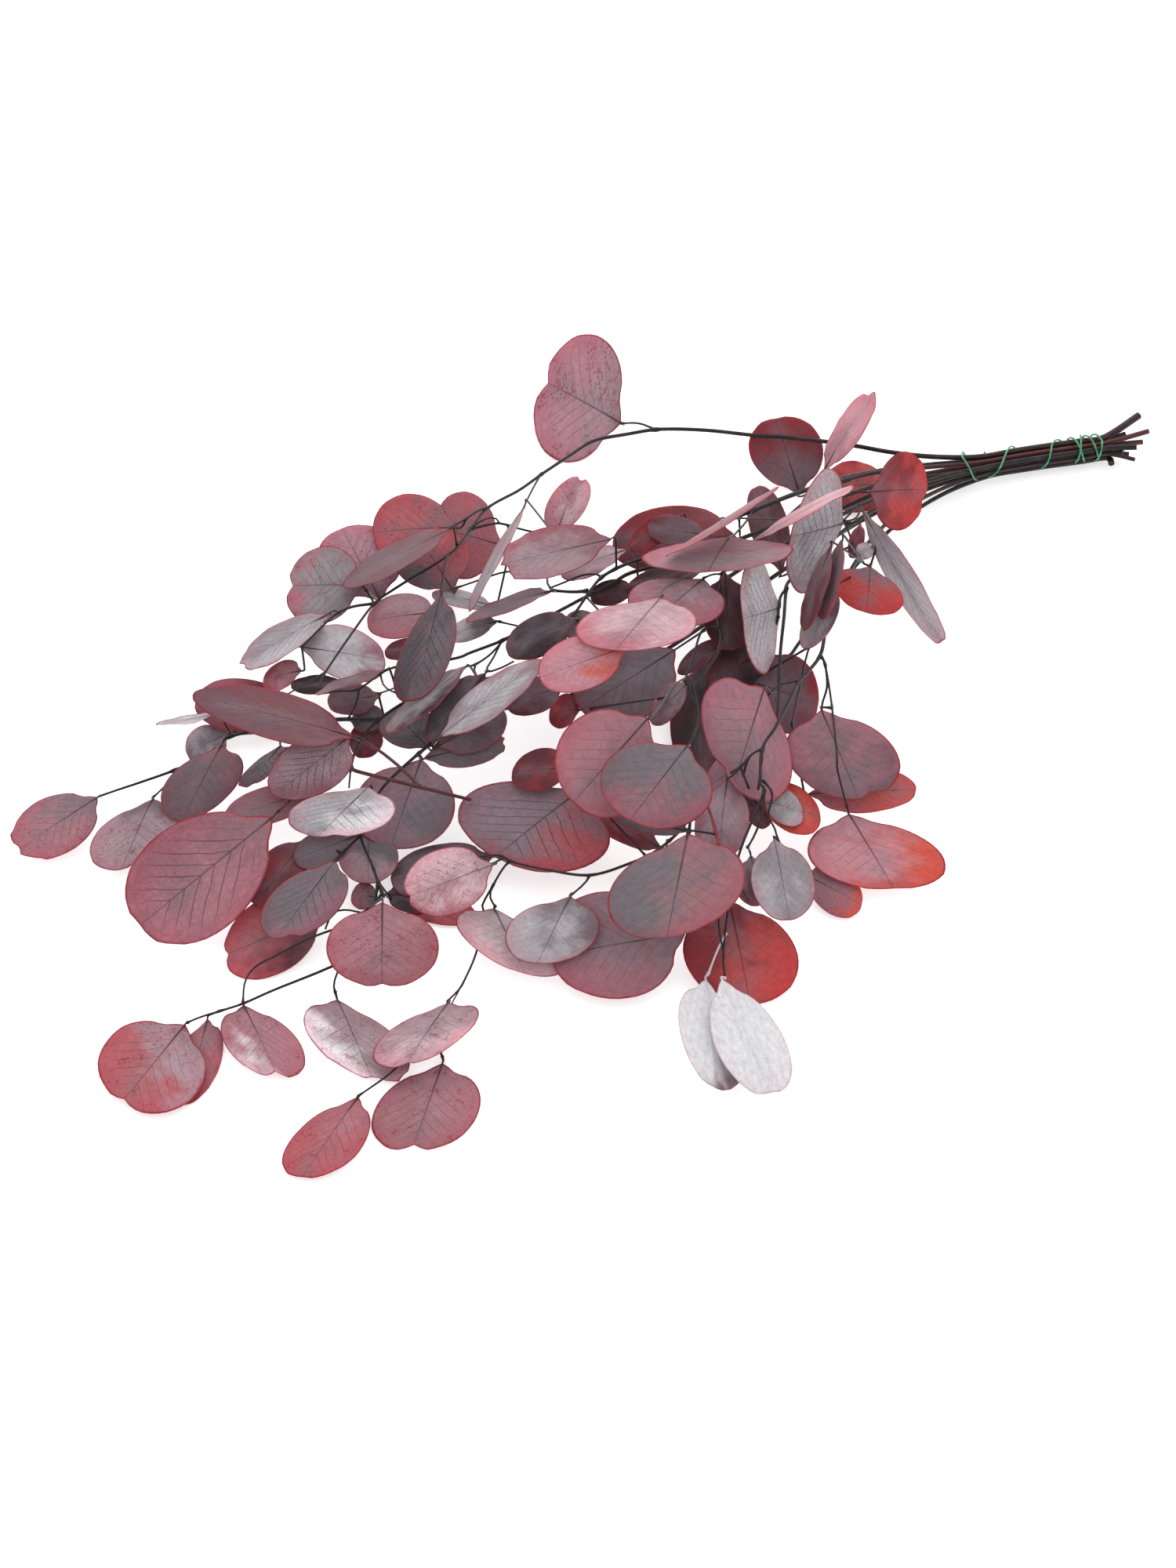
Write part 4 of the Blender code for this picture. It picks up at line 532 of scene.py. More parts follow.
        ((60, -99), (66, -156), (17, -6), 14, 0.3, "chalk", "dusk", (0.8, 0.5, -0.25), "round", "plain"),
        ((68, -99), (94, -160), (17.5, 2), 17, 0.4, "chalk", "chalk", (-0.4, -0.3, -0.1), "blunt", "plain"),
    ]),
    ("inner", [
        ((98, 90), (78, 84), (3, -30), 62, 0.9, "pale grey", "silver", (0.3, 0.4, -0.1), "blunt", "net", 0,
         17),
        # The next leaf is hidden deep in the bunch, near black as painted shade.
        ((92, 70), (62, 50), (6, -16), 36, 0.6, "near black", "maroon", (0, 0.3, 0)),
    ]),
    ("front", [
        ((80, 10), (56, -5), (5, 16), 23, 0.5, "pink mauve", "mauve", (0, 0.3, 0)),
    ]),
    ("crown", [
        ((108, 148), (95, 188), (18, 4), 21, 0.9, "deep red", "dark mauve", (0, -0.8, -0.05), "blunt"),
        ((99, 108), (86, 152), (9.5, 3), 33, 0.5, "maroon", "dark mauve", (0, 0.3, 0)),
        ((120, 160), (146, 200), (6, -4), 42, 0.9, "pink", "dusty rose", (0, -0.5, -0.1), "cleft far",
         "clear", 14),
        # This blade darkens from silver to grey on the side away from its listed edge: painted shade.
        ((131, 133), (103, 126), (6, 32), 66, 0.8, "silver", "grey", (-0.9, -0.1, -0.15), "round", "net", 0,
         16),
        ((124, 100), (113, 69), (9, 2), 56, 0.8, "grey", "dark mauve", (0.5, -0.5, -0.1), "round", "veined"),
        ((130, 125), (119, 84), (4.5, -2), 66, 0.9, "dusk", "rose mauve", (0, 0.5, 0), "round", "clear", 10),
        ((124, 122), (110, 78), (4.5, -2), 72, 0.9, "dark mauve", "maroon", (0, 0.5, 0), "round", "clear",
         10),
        ((84, 124), (136, 152), (1.2, -2.6), 80, 0.8, "pale pink", "pink", (0, -0.9, 0), "round", "clear",
         12),
        ((70, 136), (68, 131), (28.5, 17.5), 77, 0.9, "dusty rose", "rose brown", (0.4, 0.3, -0.1), "round",
         "clear", 0, 14),
        ((144, 149), (173, 150), (2, 20), 50, 0.8, "bright red", "deep red", (0.2, -0.6, 0), "cleft far"),
    ]),
    ("fan", [
        ((155, 153), (120, 150), (-2, 13), 5, 0.1, "bright red", "deep red", (0, 0.4, -0.1)),
    ]),
    ("crown", [
        ((139, 141), (182, 70), (6, 3.5), 50, 0.8, "pale grey", "silver", (0, -0.6, -0.1), "blunt", "veined",
         10),
        ((146, 121), (137, 117), (2, -4), 52, 0.7, "pale grey", "silver", (0, 0.4, 0), "round", "veined"),
        ((139, 133), (135, 115), (4, 0), 39, 0.7, "deep red", "maroon", (0, 0.3, 0)),
        ((144, 111), (142, 87), (18, -5), 55, 0.8, "bright red", "slate", (0, -0.8, -0.25)),
    ]),
]

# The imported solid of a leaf: how far its neck reaches in half lengths, the notch at its tip, and the turns
# of its rim's corners from the neck, in degrees.
LEAF_THICKNESS = 0.8
LEAF_BASE_WEDGE = 1.16
LEAF_NOTCH = 0.07
LEAF_NOTCH_SPREAD = 0.3
LONGEST_LEAF = 76.0
RIM_TURNS = [32, 68, 105, 143, 180, -143, -105, -68, -32]
WEDGE_TURN = math.acos(1.0 / LEAF_BASE_WEDGE)

# How high a leaf arches along its length and cups across it, and the share of that on a steeply tilted one.
ARCHES = (0.6, 1.8)
CUPS = (-1.4, 1.0)
STEEP_ARCH = 0.5
STEEP_CUP = 0.3
BEND_SEED = 100
LEAST_SQUARENESS = 0.25


def leaf_outline():
    """The rim's corners in half widths and half lengths."""
    rim = [(0.0, -LEAF_BASE_WEDGE)]
    for turn in RIM_TURNS:
        a = math.radians(turn)
        reach = 1.0 / math.cos(max(0.0, WEDGE_TURN - abs(a)))
        reach *= 1.0 - LEAF_NOTCH * math.exp(-((math.pi - abs(a)) / LEAF_NOTCH_SPREAD) ** 2)
        rim.append((reach * math.sin(a), -reach * math.cos(a)))
    return rim


def inside_outline(x, y):
    """Whether points given in half widths and half lengths lie on the leaf."""
    angle = np.arctan2(np.abs(x), -y)
    reach = 1.0 / np.cos(np.maximum(0.0, WEDGE_TURN - angle))
    return np.hypot(x, y) <= reach


class Leaf:
    """One leaf's flat patch on the board and in depth."""

    def __init__(self, node, entry, index):
        neck, tip, across, self.height, facing, *self.look = *entry, *USUAL[len(entry) - 8:]
        tip_rise, edge_rise = self.look.pop(), self.look.pop()
        self.node = node
        self.neck = np.array(neck, float)
        self.tip = np.array(tip, float)
        self.across = np.array(across, float)
        self.along = (self.tip - self.neck) / (LEAF_BASE_WEDGE + 1.0)
        self.centre = self.neck + self.along * LEAF_BASE_WEDGE
        self.level = facing == 0
        slope = -(1.0 - facing) / math.tan(EYE_ELEVATION)
        self.near = nearness_at(self.centre[1], self.height)
        self.rise_x = slope * self.across[1] + edge_rise
        self.rise_y = slope * self.along[1] + tip_rise
        self.rise_x *= self.trim(self.across, self.rise_x, 0.5 * LONGEST_LEAF)
        self.rise_y *= self.trim(self.along, self.rise_y, LONGEST_LEAF / (LEAF_BASE_WEDGE + 1.0))
        rng = np.random.default_rng(BEND_SEED + index)
        steep = abs(edge_rise) + abs(tip_rise) > 0
        self.arch = 0.0 if self.level else rng.uniform(*ARCHES) * (STEEP_ARCH if steep else 1.0)
        self.cup = 0.0 if self.level else rng.uniform(*CUPS) * (STEEP_CUP if steep else 1.0)
        self.lift = 0.0
        self.patch()

    @staticmethod
    def trim(flat, rise, most):
        """The share of the rise that keeps a half width or half length within the largest leaf."""
        room = most * most - float(np.dot(flat, flat))
        if rise == 0 or rise * rise <= room:
            return 1.0
        return math.sqrt(max(room, 0.0)) / abs(rise)

    def patch(self):
        """Centre, half width and half length as vectors in space, and the normal towards the eye."""
        points = []
        for x, y in ((0, 0), (1, 0), (0, 1)):
            u, v = self.centre + x * self.across + y * self.along
            near = self.near + x * self.rise_x + y * self.rise_y
            points.append(spot(u, v, nearness_at(v, self.height) if self.level else near))
        self.middle = spot(self.centre[0], self.centre[1], self.near + self.lift)
        self.half_width = points[1] - points[0]
        self.half_length = points[2] - points[0]
        normal = np.cross(self.half_width, self.half_length)
        normal = normal / np.linalg.norm(normal)
        self.normal = normal if np.dot(normal, TO_EYE) > 0 else -normal
        self.squareness = abs(float(np.dot(self.normal, TO_EYE)))

    def point(self, x, y):
        """A point of the bent leaf, given in half widths and half lengths."""
        bend = self.arch * (1.0 - y * y) + self.cup * x * x
        return self.middle + x * self.half_width + y * self.half_length + self.normal * bend

    def nearness(self, u, v):
        """Local (x, y) of board points and the patch's nearness there, before the lift."""
        du, dv = u - self.centre[0], v - self.centre[1]
        det = self.across[0] * self.along[1] - self.across[1] * self.along[0]
        x = (du * self.along[1] - dv * self.along[0]) / det
        y = (dv * self.across[0] - du * self.across[1]) / det
        return x, y, self.near + x * self.rise_x + y * self.rise_y

    def depth_room(self):
        """Half of the room the leaf takes along the line of sight."""
        bend = 0.5 * (abs(self.arch) + abs(self.cup))
        return (0.5 * LEAF_THICKNESS + bend) / max(self.squareness, LEAST_SQUARENESS)

    def lowest(self):
        """The height of the lowest corner of the solid leaf."""
        drop = 0.5 * LEAF_THICKNESS * abs(float(self.normal[2]))
        return min(float(self.point(x, y)[2]) for x, y in leaf_outline()) - drop


# Leaves are set apart in cells of the board. They keep gaps to each other and to twigs, with a margin round
# a leaf against other stems' twigs, and none near its own stalk.
CELL = 1.5
GRID_U = np.arange(-312.0, 200.0, CELL)
GRID_V = np.arange(-220.0, 244.0, CELL)
LEAF_GAP = 1.2
TWIG_GAP = 0.9
OTHER_STEM_MARGIN = 1.6
OWN_STALK_REACH = 13.0
RIM_SHARE = 0.97
MOST_ROUNDS = 600
LEAST_SHORT = 1e-3
LEAST_WORST = 0.02
UNBOUND = 1e3


def twig_samples(stem, line, run):
    """The board points, nearness, heights and radii along a twig's run, every 1.5 mm or so."""
    run = np.array(run, float)
    length = np.concatenate([[0.0], np.cumsum(np.linalg.norm(run[1:] - run[:-1], axis=1))])
    at = np.linspace(0.0, length[-1], max(3, int(length[-1] / CELL)))
    points = np.stack([np.interp(at, length, run[:, k]) for k in range(3)], axis=1) - BOARD_CENTRE
    near = points @ TO_EYE
    spread = EYE_DISTANCE / (EYE_DISTANCE - near)
    radius = np.interp(at, [0.0, length[-1]], line[:2])
    return stem, points[:, 0] * spread, (points @ BOARD_V) * spread, near, points[:, 2] + BOARD_HEIGHT, radius


def room_among_twigs(leaf, twigs):
    """The least and the most that a leaf can come nearer, between the twigs that cross it and the surface."""
    floor, ceiling = -UNBOUND, UNBOUND
    thin = min(float(np.linalg.norm(leaf.along)), float(np.linalg.norm(leaf.across)))
    for stem, u, v, near, h, radius in twigs:
        x, y, mine = leaf.nearness(u, v)
        scale = 1.0 / (1.0 + OTHER_STEM_MARGIN / thin) if stem != leaf.node else 1.0
        hit = inside_outline(x * scale, y * scale)
        if stem == leaf.node:
            hit = hit & (np.hypot(u - leaf.neck[0], v - leaf.neck[1]) > OWN_STALK_REACH)
        if not hit.any():
            continue
        room = radius[hit] + leaf.depth_room() + TWIG_GAP
        if np.mean(h[hit]) > leaf.height:
            ceiling = min(ceiling, float(np.min(near[hit] - mine[hit] - room)))
        else:
            floor = max(floor, float(np.max(near[hit] - mine[hit] + room)))
    if floor > ceiling:
        floor = ceiling = 0.5 * (floor + ceiling)
    floor = max(floor, -leaf.lowest() / math.sin(EYE_ELEVATION))
    return floor, max(ceiling, floor)


def board_map(leaf):
    """The cells of the board that a leaf covers, as index ranges, and its nearness in each."""
    reach = np.abs(leaf.across) + np.abs(leaf.along) * LEAF_BASE_WEDGE + 2
    i0, i1 = np.searchsorted(GRID_U, [leaf.centre[0] - reach[0], leaf.centre[0] + reach[0]])
    j0, j1 = np.searchsorted(GRID_V, [leaf.centre[1] - reach[1], leaf.centre[1] + reach[1]])
    uu, vv = np.meshgrid(GRID_U[i0:i1], GRID_V[j0:j1], indexing="ij")
    x, y, near = leaf.nearness(uu, vv)
    return i0, i1, j0, j1, np.where(inside_outline(x * RIM_SHARE, y * RIM_SHARE), near, np.nan)


def settle(leaves):
    """Moves the leaves along their lines of sight until all that overlap on the board are clear."""
    twigs = []
    for stem, lines in TWIGS.items():
        twigs.append(twig_samples(stem, lines[0], bundle_run(stem)[3:] + traced(lines[0][2])))
        twigs += [twig_samples(stem, line, traced(line[2])) for line in lines[1:]]
    floor, ceiling = np.transpose([room_among_twigs(leaf, twigs) for leaf in leaves])
    maps = [board_map(leaf) for leaf in leaves]
    pairs = []
    for a in range(len(leaves)):
        for b in range(a + 1, len(leaves)):
            back, front = (a, b) if leaves[a].height <= leaves[b].height else (b, a)
            f, g = maps[front], maps[back]
            i0, i1, j0, j1 = max(f[0], g[0]), min(f[1], g[1]), max(f[2], g[2]), min(f[3], g[3])
            if i0 >= i1 or j0 >= j1:
                continue
            near, far = (m[4][i0 - m[0]:i1 - m[0], j0 - m[2]:j1 - m[2]] for m in (f, g))
            gap = near - far
            if np.isfinite(gap).any():
                need = leaves[front].depth_room() + leaves[back].depth_room() + LEAF_GAP
                pairs.append((front, back, need - float(np.nanmin(gap))))
    lift = np.clip(np.zeros(len(leaves)), floor, ceiling)
    for _ in range(MOST_ROUNDS):
        worst = 0.0
        for front, back, need in pairs:
            short = need - (lift[front] - lift[back])
            if short > LEAST_SHORT:
                lift[front] = min(max(lift[front] + 0.5 * short, floor[front]), ceiling[front])
                lift[back] = min(max(lift[back] - 0.5 * short, floor[back]), ceiling[back])
                worst = max(worst, short)
        if worst < LEAST_WORST:
            break
    for leaf, amount in zip(leaves, lift):
        leaf.lift = float(amount)
        leaf.patch()
        leaf.middle = leaf.middle - min(0.0, leaf.lowest()) * UP


def stalk_start(neck, ahead, twigs):
    """The point on the twigs that a leaf stalk grows from: the nearest, and not in front of the neck."""
    best = None
    for points in twigs:
        for a, b in zip(points[:-1], points[1:]):
            for k in range(9):
                q = a + (b - a) * (k / 8.0)
                cost = float(np.linalg.norm(q - neck)) + 1.5 * max(0.0, float(np.dot(q - neck, ahead)))
                if best is None or cost < best[0]:
                    best = (cost, q)
    return best[1]


rows = [(stem, row) for stem, group in LEAVES for row in group]
ALL_LEAVES = [Leaf(stem, row, index) for index, (stem, row) in enumerate(rows)]
settle(ALL_LEAVES)

# Twigs, the swelling of their knuckles as a share of the radius, and the stalks, with a bend near the neck
# where the twig isn't in line with the leaf.
TWIG_STEP = 3.0
TWIG_SIDES = 8
KNUCKLE = 0.55
KNUCKLE_REACH = 2.4
STALK_RADIUS = 0.62
NECK_RADIUS = 0.6
NECK_BEND = 1.6
SHORT_STALK = 1.5

# The midrib: how far along the blade, in half lengths, and its radius there.
MIDRIB = [(-1.16, 0.52), (-1.0, 0.42), (-0.7, 0.32), (-0.3, 0.26), (0.1, 0.2), (0.62, 0.12)]


def new_tree(name, kind, outputs, **inputs):
    """A node tree with named inputs and outputs, each given with its kind of socket."""
    tree = bpy.data.node_groups.new(name, kind)
    for way, sockets in (("INPUT", inputs), ("OUTPUT", outputs)):
        for label, socket in sockets.items():
            tree.interface.new_socket(label, in_out=way, socket_type="NodeSocket" + socket)
    return tree, put(tree, "NodeGroupInput").outputs


def end_tree(tree, shape, finish):
    """Ends a tree with smooth faces, in plain meshes and a finish."""
    soft = put(tree, "GeometryNodeSetShadeSmooth", shape)
    real = put(tree, "GeometryNodeRealizeInstances", soft)
    put(tree, "NodeGroupOutput", put(tree, "GeometryNodeSetMaterial", real, Material=finish))


def sums_in(tree):
    """Short ways to put a product and any other sum in a tree."""

    def sum_of(operation, *values):
        return put(tree, "ShaderNodeMath", *values, operation=operation)

    def times(one, other):
        return sum_of("MULTIPLY", one, other)

    return sum_of, times


def kept(tree, name, kind="FLOAT"):
    """A value that was noted on the points of a mesh."""
    return put(tree, "GeometryNodeInputNamedAttribute", name, data_type=kind)


def tube_tree():
    """Traced lines to round tubes, swollen where the marked points of other lines touch them."""
    tree, given = new_tree("round runs", "GeometryNodeTree", {"Runs": "Geometry"}, Lines="Geometry",
                           Step="Float", Knuckle="Float", Reach="Float", Sides="Int", Finish="Material")
    sum_of, times = sums_in(tree)
    marked = put(tree, "FunctionNodeCompare", kept(tree, "joint"), 0.5, data_type="FLOAT",
                 operation="GREATER_THAN")
    joints = put(tree, "GeometryNodeMeshToPoints", given["Lines"], marked)
    curves = put(tree, "GeometryNodeMeshToCurve", given["Lines"])
    smooth = put(tree, "GeometryNodeCurveSplineType", curves, spline_type="CATMULL_ROM")
    even = put(tree, "GeometryNodeResampleCurve", smooth, Length=given["Step"], mode="LENGTH")
    here = put(tree, "GeometryNodeInputPosition")
    near = put(tree, "GeometryNodeProximity", joints, target_element="POINTS")
    tree.links.new(here.outputs[0], next(s for s in near.inputs if s.type == "VECTOR"))
    swell = put(tree, "ShaderNodeMapRange", near.outputs["Distance"], 0.0, given["Reach"], 1.0, 0.0,
                interpolation_type="SMOOTHSTEP")
    radius = times(kept(tree, "thick"), sum_of("MULTIPLY_ADD", swell, given["Knuckle"], 1.0))
    ring = put(tree, "GeometryNodeCurvePrimitiveCircle", given["Sides"], Radius=1.0, mode="RADIUS")
    tubes = put(tree, "GeometryNodeCurveToMesh", Curve=even, Profile_Curve=ring, Scale=radius, Fill_Caps=True)
    above = put(tree, "ShaderNodeVectorMath", here, (-1.0, -1.0, 0.0), operation="MAXIMUM")
    end_tree(tree, put(tree, "GeometryNodeSetPosition", tubes, Position=above), given["Finish"])
    return tree


def made(name, mesh, tree, **values):
    """Runs a tree on a mesh and keeps what it makes as a plain mesh."""
    rough = shown("rough", mesh)
    step = rough.modifiers.new("made", "NODES")
    step.node_group = tree
    for item in tree.interface.items_tree:
        if item.in_out == "INPUT" and item.name in values:
            step[item.identifier] = values[item.name]
    shape = bpy.data.meshes.new_from_object(rough.evaluated_get(bpy.context.evaluated_depsgraph_get()))
    bpy.data.objects.remove(rough)
    shape.name = name
    return shown(name, shape)


def note(mesh, name, kind, values):
    """Notes a value for each point of a mesh."""
    field = {"FLOAT_VECTOR": "vector", "FLOAT_COLOR": "color"}.get(kind, "value")
    mesh.attributes.new(name, kind, "POINT").data.foreach_set(field, np.ravel(values).tolist())


def eased(points):
    """A stem's run with the bends softened where it leaves the bundle."""
    points = [np.array(p) for p in points]
    for _ in range(3):
        for i in range(TIE_END, TIE_END + 4):
            points[i] = 0.5 * points[i] + 0.25 * (points[i - 1] + points[i + 1])
    return points


def line_mesh(runs):
    """Lines as bare edges. A run is its points, radii, bark colours and whether it joins another."""
    points, edges, thick, bark, joint = [], [], [], [], []
    for places, radii, colours, joins in runs:
        first = len(points)
        points += [[x, y, max(z, r * MILLIMETRE)] for (x, y, z), r in zip(laid(places), radii)]
        edges += [(first + i, first + i + 1) for i in range(len(places) - 1)]
        thick += [r * MILLIMETRE for r in radii]
        bark += [[*c, 1.0] for c in colours]
        joint += [1.0 if joins else 0.0] + [0.0] * (len(places) - 1)
    mesh = bpy.data.meshes.new("lines")
    mesh.from_pydata(points, edges, [])
    note(mesh, "thick", "FLOAT", thick)
    note(mesh, "bark", "FLOAT_COLOR", bark)
    note(mesh, "joint", "FLOAT", joint)
    return mesh


def stalk_run(leaf, twigs):
    """A leaf's stalk from its twig to the neck, and on through the blade as a midrib that thins out."""
    neck = leaf.point(0.0, -LEAF_BASE_WEDGE)
    ahead = leaf.point(0.0, -0.4) - neck
    ahead = ahead / np.linalg.norm(ahead)
    start = stalk_start(neck, ahead, twigs)
    away = float(np.linalg.norm(start - neck))
    points, radii = [start], [STALK_RADIUS]
    if away > SHORT_STALK and float(np.dot(neck - start, ahead)) < 0.6 * away:
        points.append(neck - ahead * min(NECK_BEND, 0.5 * away))
        radii.append(NECK_RADIUS)
    for y, radius in MIDRIB:
        points.append(leaf.point(0.0, y))
        radii.append(radius)
    blade = np.array(DYES[leaf.look[0]])
    bark, rib = BARK["dark"], 0.5 * np.array(BARK["dark"]) + 0.175 * blade
    # The plain blades are those painted white as sheen. The midrib takes the blade's painted white, and the
    # stalk takes white bark.
    if leaf.look[4] == "plain":
        bark, rib = BARK["white"], blade
    return points, radii, [bark, bark] + [rib] * (len(points) - 2), True


bark_finish, tree, shader = new_finish("twig bark", Specular_IOR_Level=0.3)
place = put(tree, "ShaderNodeTexCoord").outputs["Object"]
bark = put(tree, "ShaderNodeAttribute", attribute_name="bark").outputs["Color"]
# Lighter grey patches are painted on the dark bark as its highlights.
patch = put(tree, "ShaderNodeTexNoise", place, 160.0, 3.0, 0.6)
grey = put(tree, "ShaderNodeMapRange", patch, 0.5, 0.75, 0.0, 0.3, interpolation_type="SMOOTHSTEP")
bark_with_painted_highlights = put(tree, "ShaderNodeMix", grey, bark, (0.07, 0.055, 0.06, 1.0), data_type="RGBA")
fine = put(tree, "ShaderNodeTexNoise", place, 900.0, 2.0, 0.65)
sheen = put(tree, "ShaderNodeMapRange", fine, 0.3, 0.7, 0.24, 0.42)
relief = put(tree, "ShaderNodeBump", Strength=0.4, Distance=0.0003, Height=fine)
feed(tree, shader, Base_Color=bark_with_painted_highlights, Roughness=sheen, Normal=relief)

run_tree = tube_tree()
for stem in PLACE:
    lines = TWIGS[stem]
    whole = eased(bundle_run(stem) + traced(lines[0][2]))
    radii = np.interp(range(len(whole)), [0, TIE_END + 1, len(whole) - 1], [CUT_END[stem][1], *lines[0][:2]])
    old = np.interp(range(len(whole)), [3, 8], [1.0, 0.0])
    cut_bark = np.array(BARK[CUT_BARK.get(stem, "brown")])
    runs = [(whole, radii, [b * cut_bark + (1.0 - b) * np.array(BARK["dark"]) for b in old], False)]
    twig_runs = [whole[TIE_END:]]
    for start_radius, end_radius, points, *bark in lines[1:]:
        twig_runs.append(traced(points))
        radii = np.linspace(start_radius, end_radius, len(points))
        runs.append((twig_runs[-1], radii, [BARK[bark[0] if bark else "dark"]] * len(points), True))
    runs += [stalk_run(leaf, twig_runs) for leaf in ALL_LEAVES if leaf.node == stem]
    wood = made(stem + "_wood", line_mesh(runs), run_tree, Step=TWIG_STEP * MILLIMETRE, Sides=TWIG_SIDES,
                Knuckle=KNUCKLE, Reach=KNUCKLE_REACH * MILLIMETRE, Finish=bark_finish)
    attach(wood, "root")
    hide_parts("stem_" + stem)

# The leaves.
# Round, leathery blades, soaked in glycerine and red dye: greyer and duller at the neck and along the midrib,
# redder towards a thin rim of bright red, partly the blade's red edge and partly painted glow of light
# through it, with dark net veins and small dark flecks. Each grows on its stalk.
RIM_STEPS = 44
RINGS = [0.22, 0.45, 0.66, 0.83, 0.94, 1.0]
RIM_THINNING = 0.45
VARIETY_SEED = 900

# In metres, as the tree that bends the blades takes them.
BLADE_THICKNESS = 0.00045
BLADE_LOWEST = 0.0004
WAVE = 0.004

# Outlines: depth of the notch at the tip, its half angle, how far it lies towards the listed edge, how much
# broader the blade is near the neck, how much fuller on the listed side, and the ruffle near the tip.
OUTLINES = {"round": (0.02, 0.30, 0.0, 0.0, 0.0, 0.006), "blunt": (0.08, 0.45, 0.1, -0.08, 0.02, 0.008),
            "cleft": (0.09, 0.13, 0.0, 0.0, 0.01, 0.006),
            "cleft near": (0.11, 0.15, 0.32, 0.0, 0.02, 0.008),
            "cleft far": (0.11, 0.15, -0.32, 0.0, -0.02, 0.008),
            "heart": (0.17, 0.18, 0.0, -0.03, 0.01, 0.006),
            "heart near": (0.15, 0.14, 0.22, -0.02, 0.0, 0.006),
            "ruffled": (0.06, 0.16, 0.1, -0.02, 0.0, 0.022),
            "bitten": (0.12, 0.16, -0.2, -0.05, 0.03, 0.034), "egg": (0.0, 0.30, 0.0, 0.10, 0.02, 0.005),
            "pear": (0.02, 0.30, 0.0, -0.12, 0.0, 0.006), "lens": (-0.14, 0.42, 0.0, 0.04, 0.0, 0.006)}

# Marks: flecks and stains, side veins, and net veins. A plain blade has next to none, and no rim.
MARKS = {"plain": (0.0, 0.12, 0.0), "clear": (0.2, 0.65, 0.3), "flecked": (1.0, 0.8, 0.6),
         "veined": (0.5, 1.0, 0.9), "net": (0.6, 1.2, 1.8)}

# The side veins: how many there are along half a leaf, how steeply they climb from the midrib, how much that
# slackens outwards, and how far they wander.
SIDE_VEINS = 4.2
VEIN_CLIMB = 1.0
VEIN_SLACK = 0.15
VEIN_WANDER = 0.14

# What the surface takes from each leaf, and the stains that all leaves share; the rim's red is partly painted
# glow.
FROM_LEAF = {"Main": "Color", "Second": "Color", "Flat": "Vector", "Lean": "Vector", "Marks": "Vector",
             "Weather": "Vector", "Edge": "Float", "Variety": "Float", "Front": "Float"}
STAINS = {"Bloom": dye(124, 112, 120), "Blush": (1.04, 0.76, 0.82), "Vein": dye(48, 30, 36),
          "Rim": dye(148, 30, 34), "Fleck": dye(126, 26, 36)}


def rim_reach(angle, outline, phase):
    """How far the rim lies from the middle at an angle from the neck, in half widths and half lengths."""
    notch, spread, aside, egg, lopsided, ruffle = outline
    turn = abs(angle)
    reach = 1.0 / math.cos(max(0.0, WEDGE_TURN - turn))
    reach *= 1.0 - 0.05 * math.exp(-((turn - 0.34) / 0.15) ** 2)
    from_tip = math.pi - turn if angle * aside >= 0 else turn - math.pi
    reach *= 1.0 - notch * math.exp(-((from_tip - abs(aside)) / spread) ** 2)
    reach *= 1.0 + egg * math.cos(turn) * math.sin(turn) ** 2
    reach *= 1.0 + lopsided * math.sin(angle)
    late = min(1.0, max(0.0, (turn - 1.5) / 0.9))
    reach += ruffle * late * (math.sin(9 * angle + phase) + 0.6 * math.sin(17 * angle + 2.3 * phase))
    return reach + 0.008 * math.sin(4 * angle + 1.7 * phase)


def leaf_blank(name, outline, phase):
    """A thin flat leaf in half widths and half lengths, one unit thick, with its flat place noted."""
    rim = []
    for k in range(RIM_STEPS):
        angle = -math.pi + 2.0 * math.pi * k / RIM_STEPS
        reach = rim_reach(angle, outline, phase)
        rim.append((reach * math.sin(angle), -reach * math.cos(angle)))
    points, edge, faces = [], [], []
    for side in (0.5, -0.5):
        points.append((0.0, 0.0, side))
        edge.append(0.0)
        for share in RINGS:
            thin = side * (1.0 - RIM_THINNING * share ** 3)
            points += [(x * share, y * share, thin) for x, y in rim]
            edge += [share] * RIM_STEPS
    half = len(points) // 2
    for k in range(RIM_STEPS):
        after = (k + 1) % RIM_STEPS
        faces += [(0, 1 + k, 1 + after), (half, half + 1 + after, half + 1 + k)]
        a, b = 1 + k, 1 + after
        for _ in RINGS[1:]:
            c, d = a + RIM_STEPS, b + RIM_STEPS
            faces += [(a, c, d, b), (half + b, half + d, half + c, half + a)]
            a, b = c, d
        faces.append((a, half + a, half + b, b))
    mesh = bpy.data.meshes.new(name)
    mesh.from_pydata(points, [], faces)
    note(mesh, "flat", "FLOAT_VECTOR", points)
    note(mesh, "edge", "FLOAT", edge)
    return bpy.data.objects.new(name, mesh)


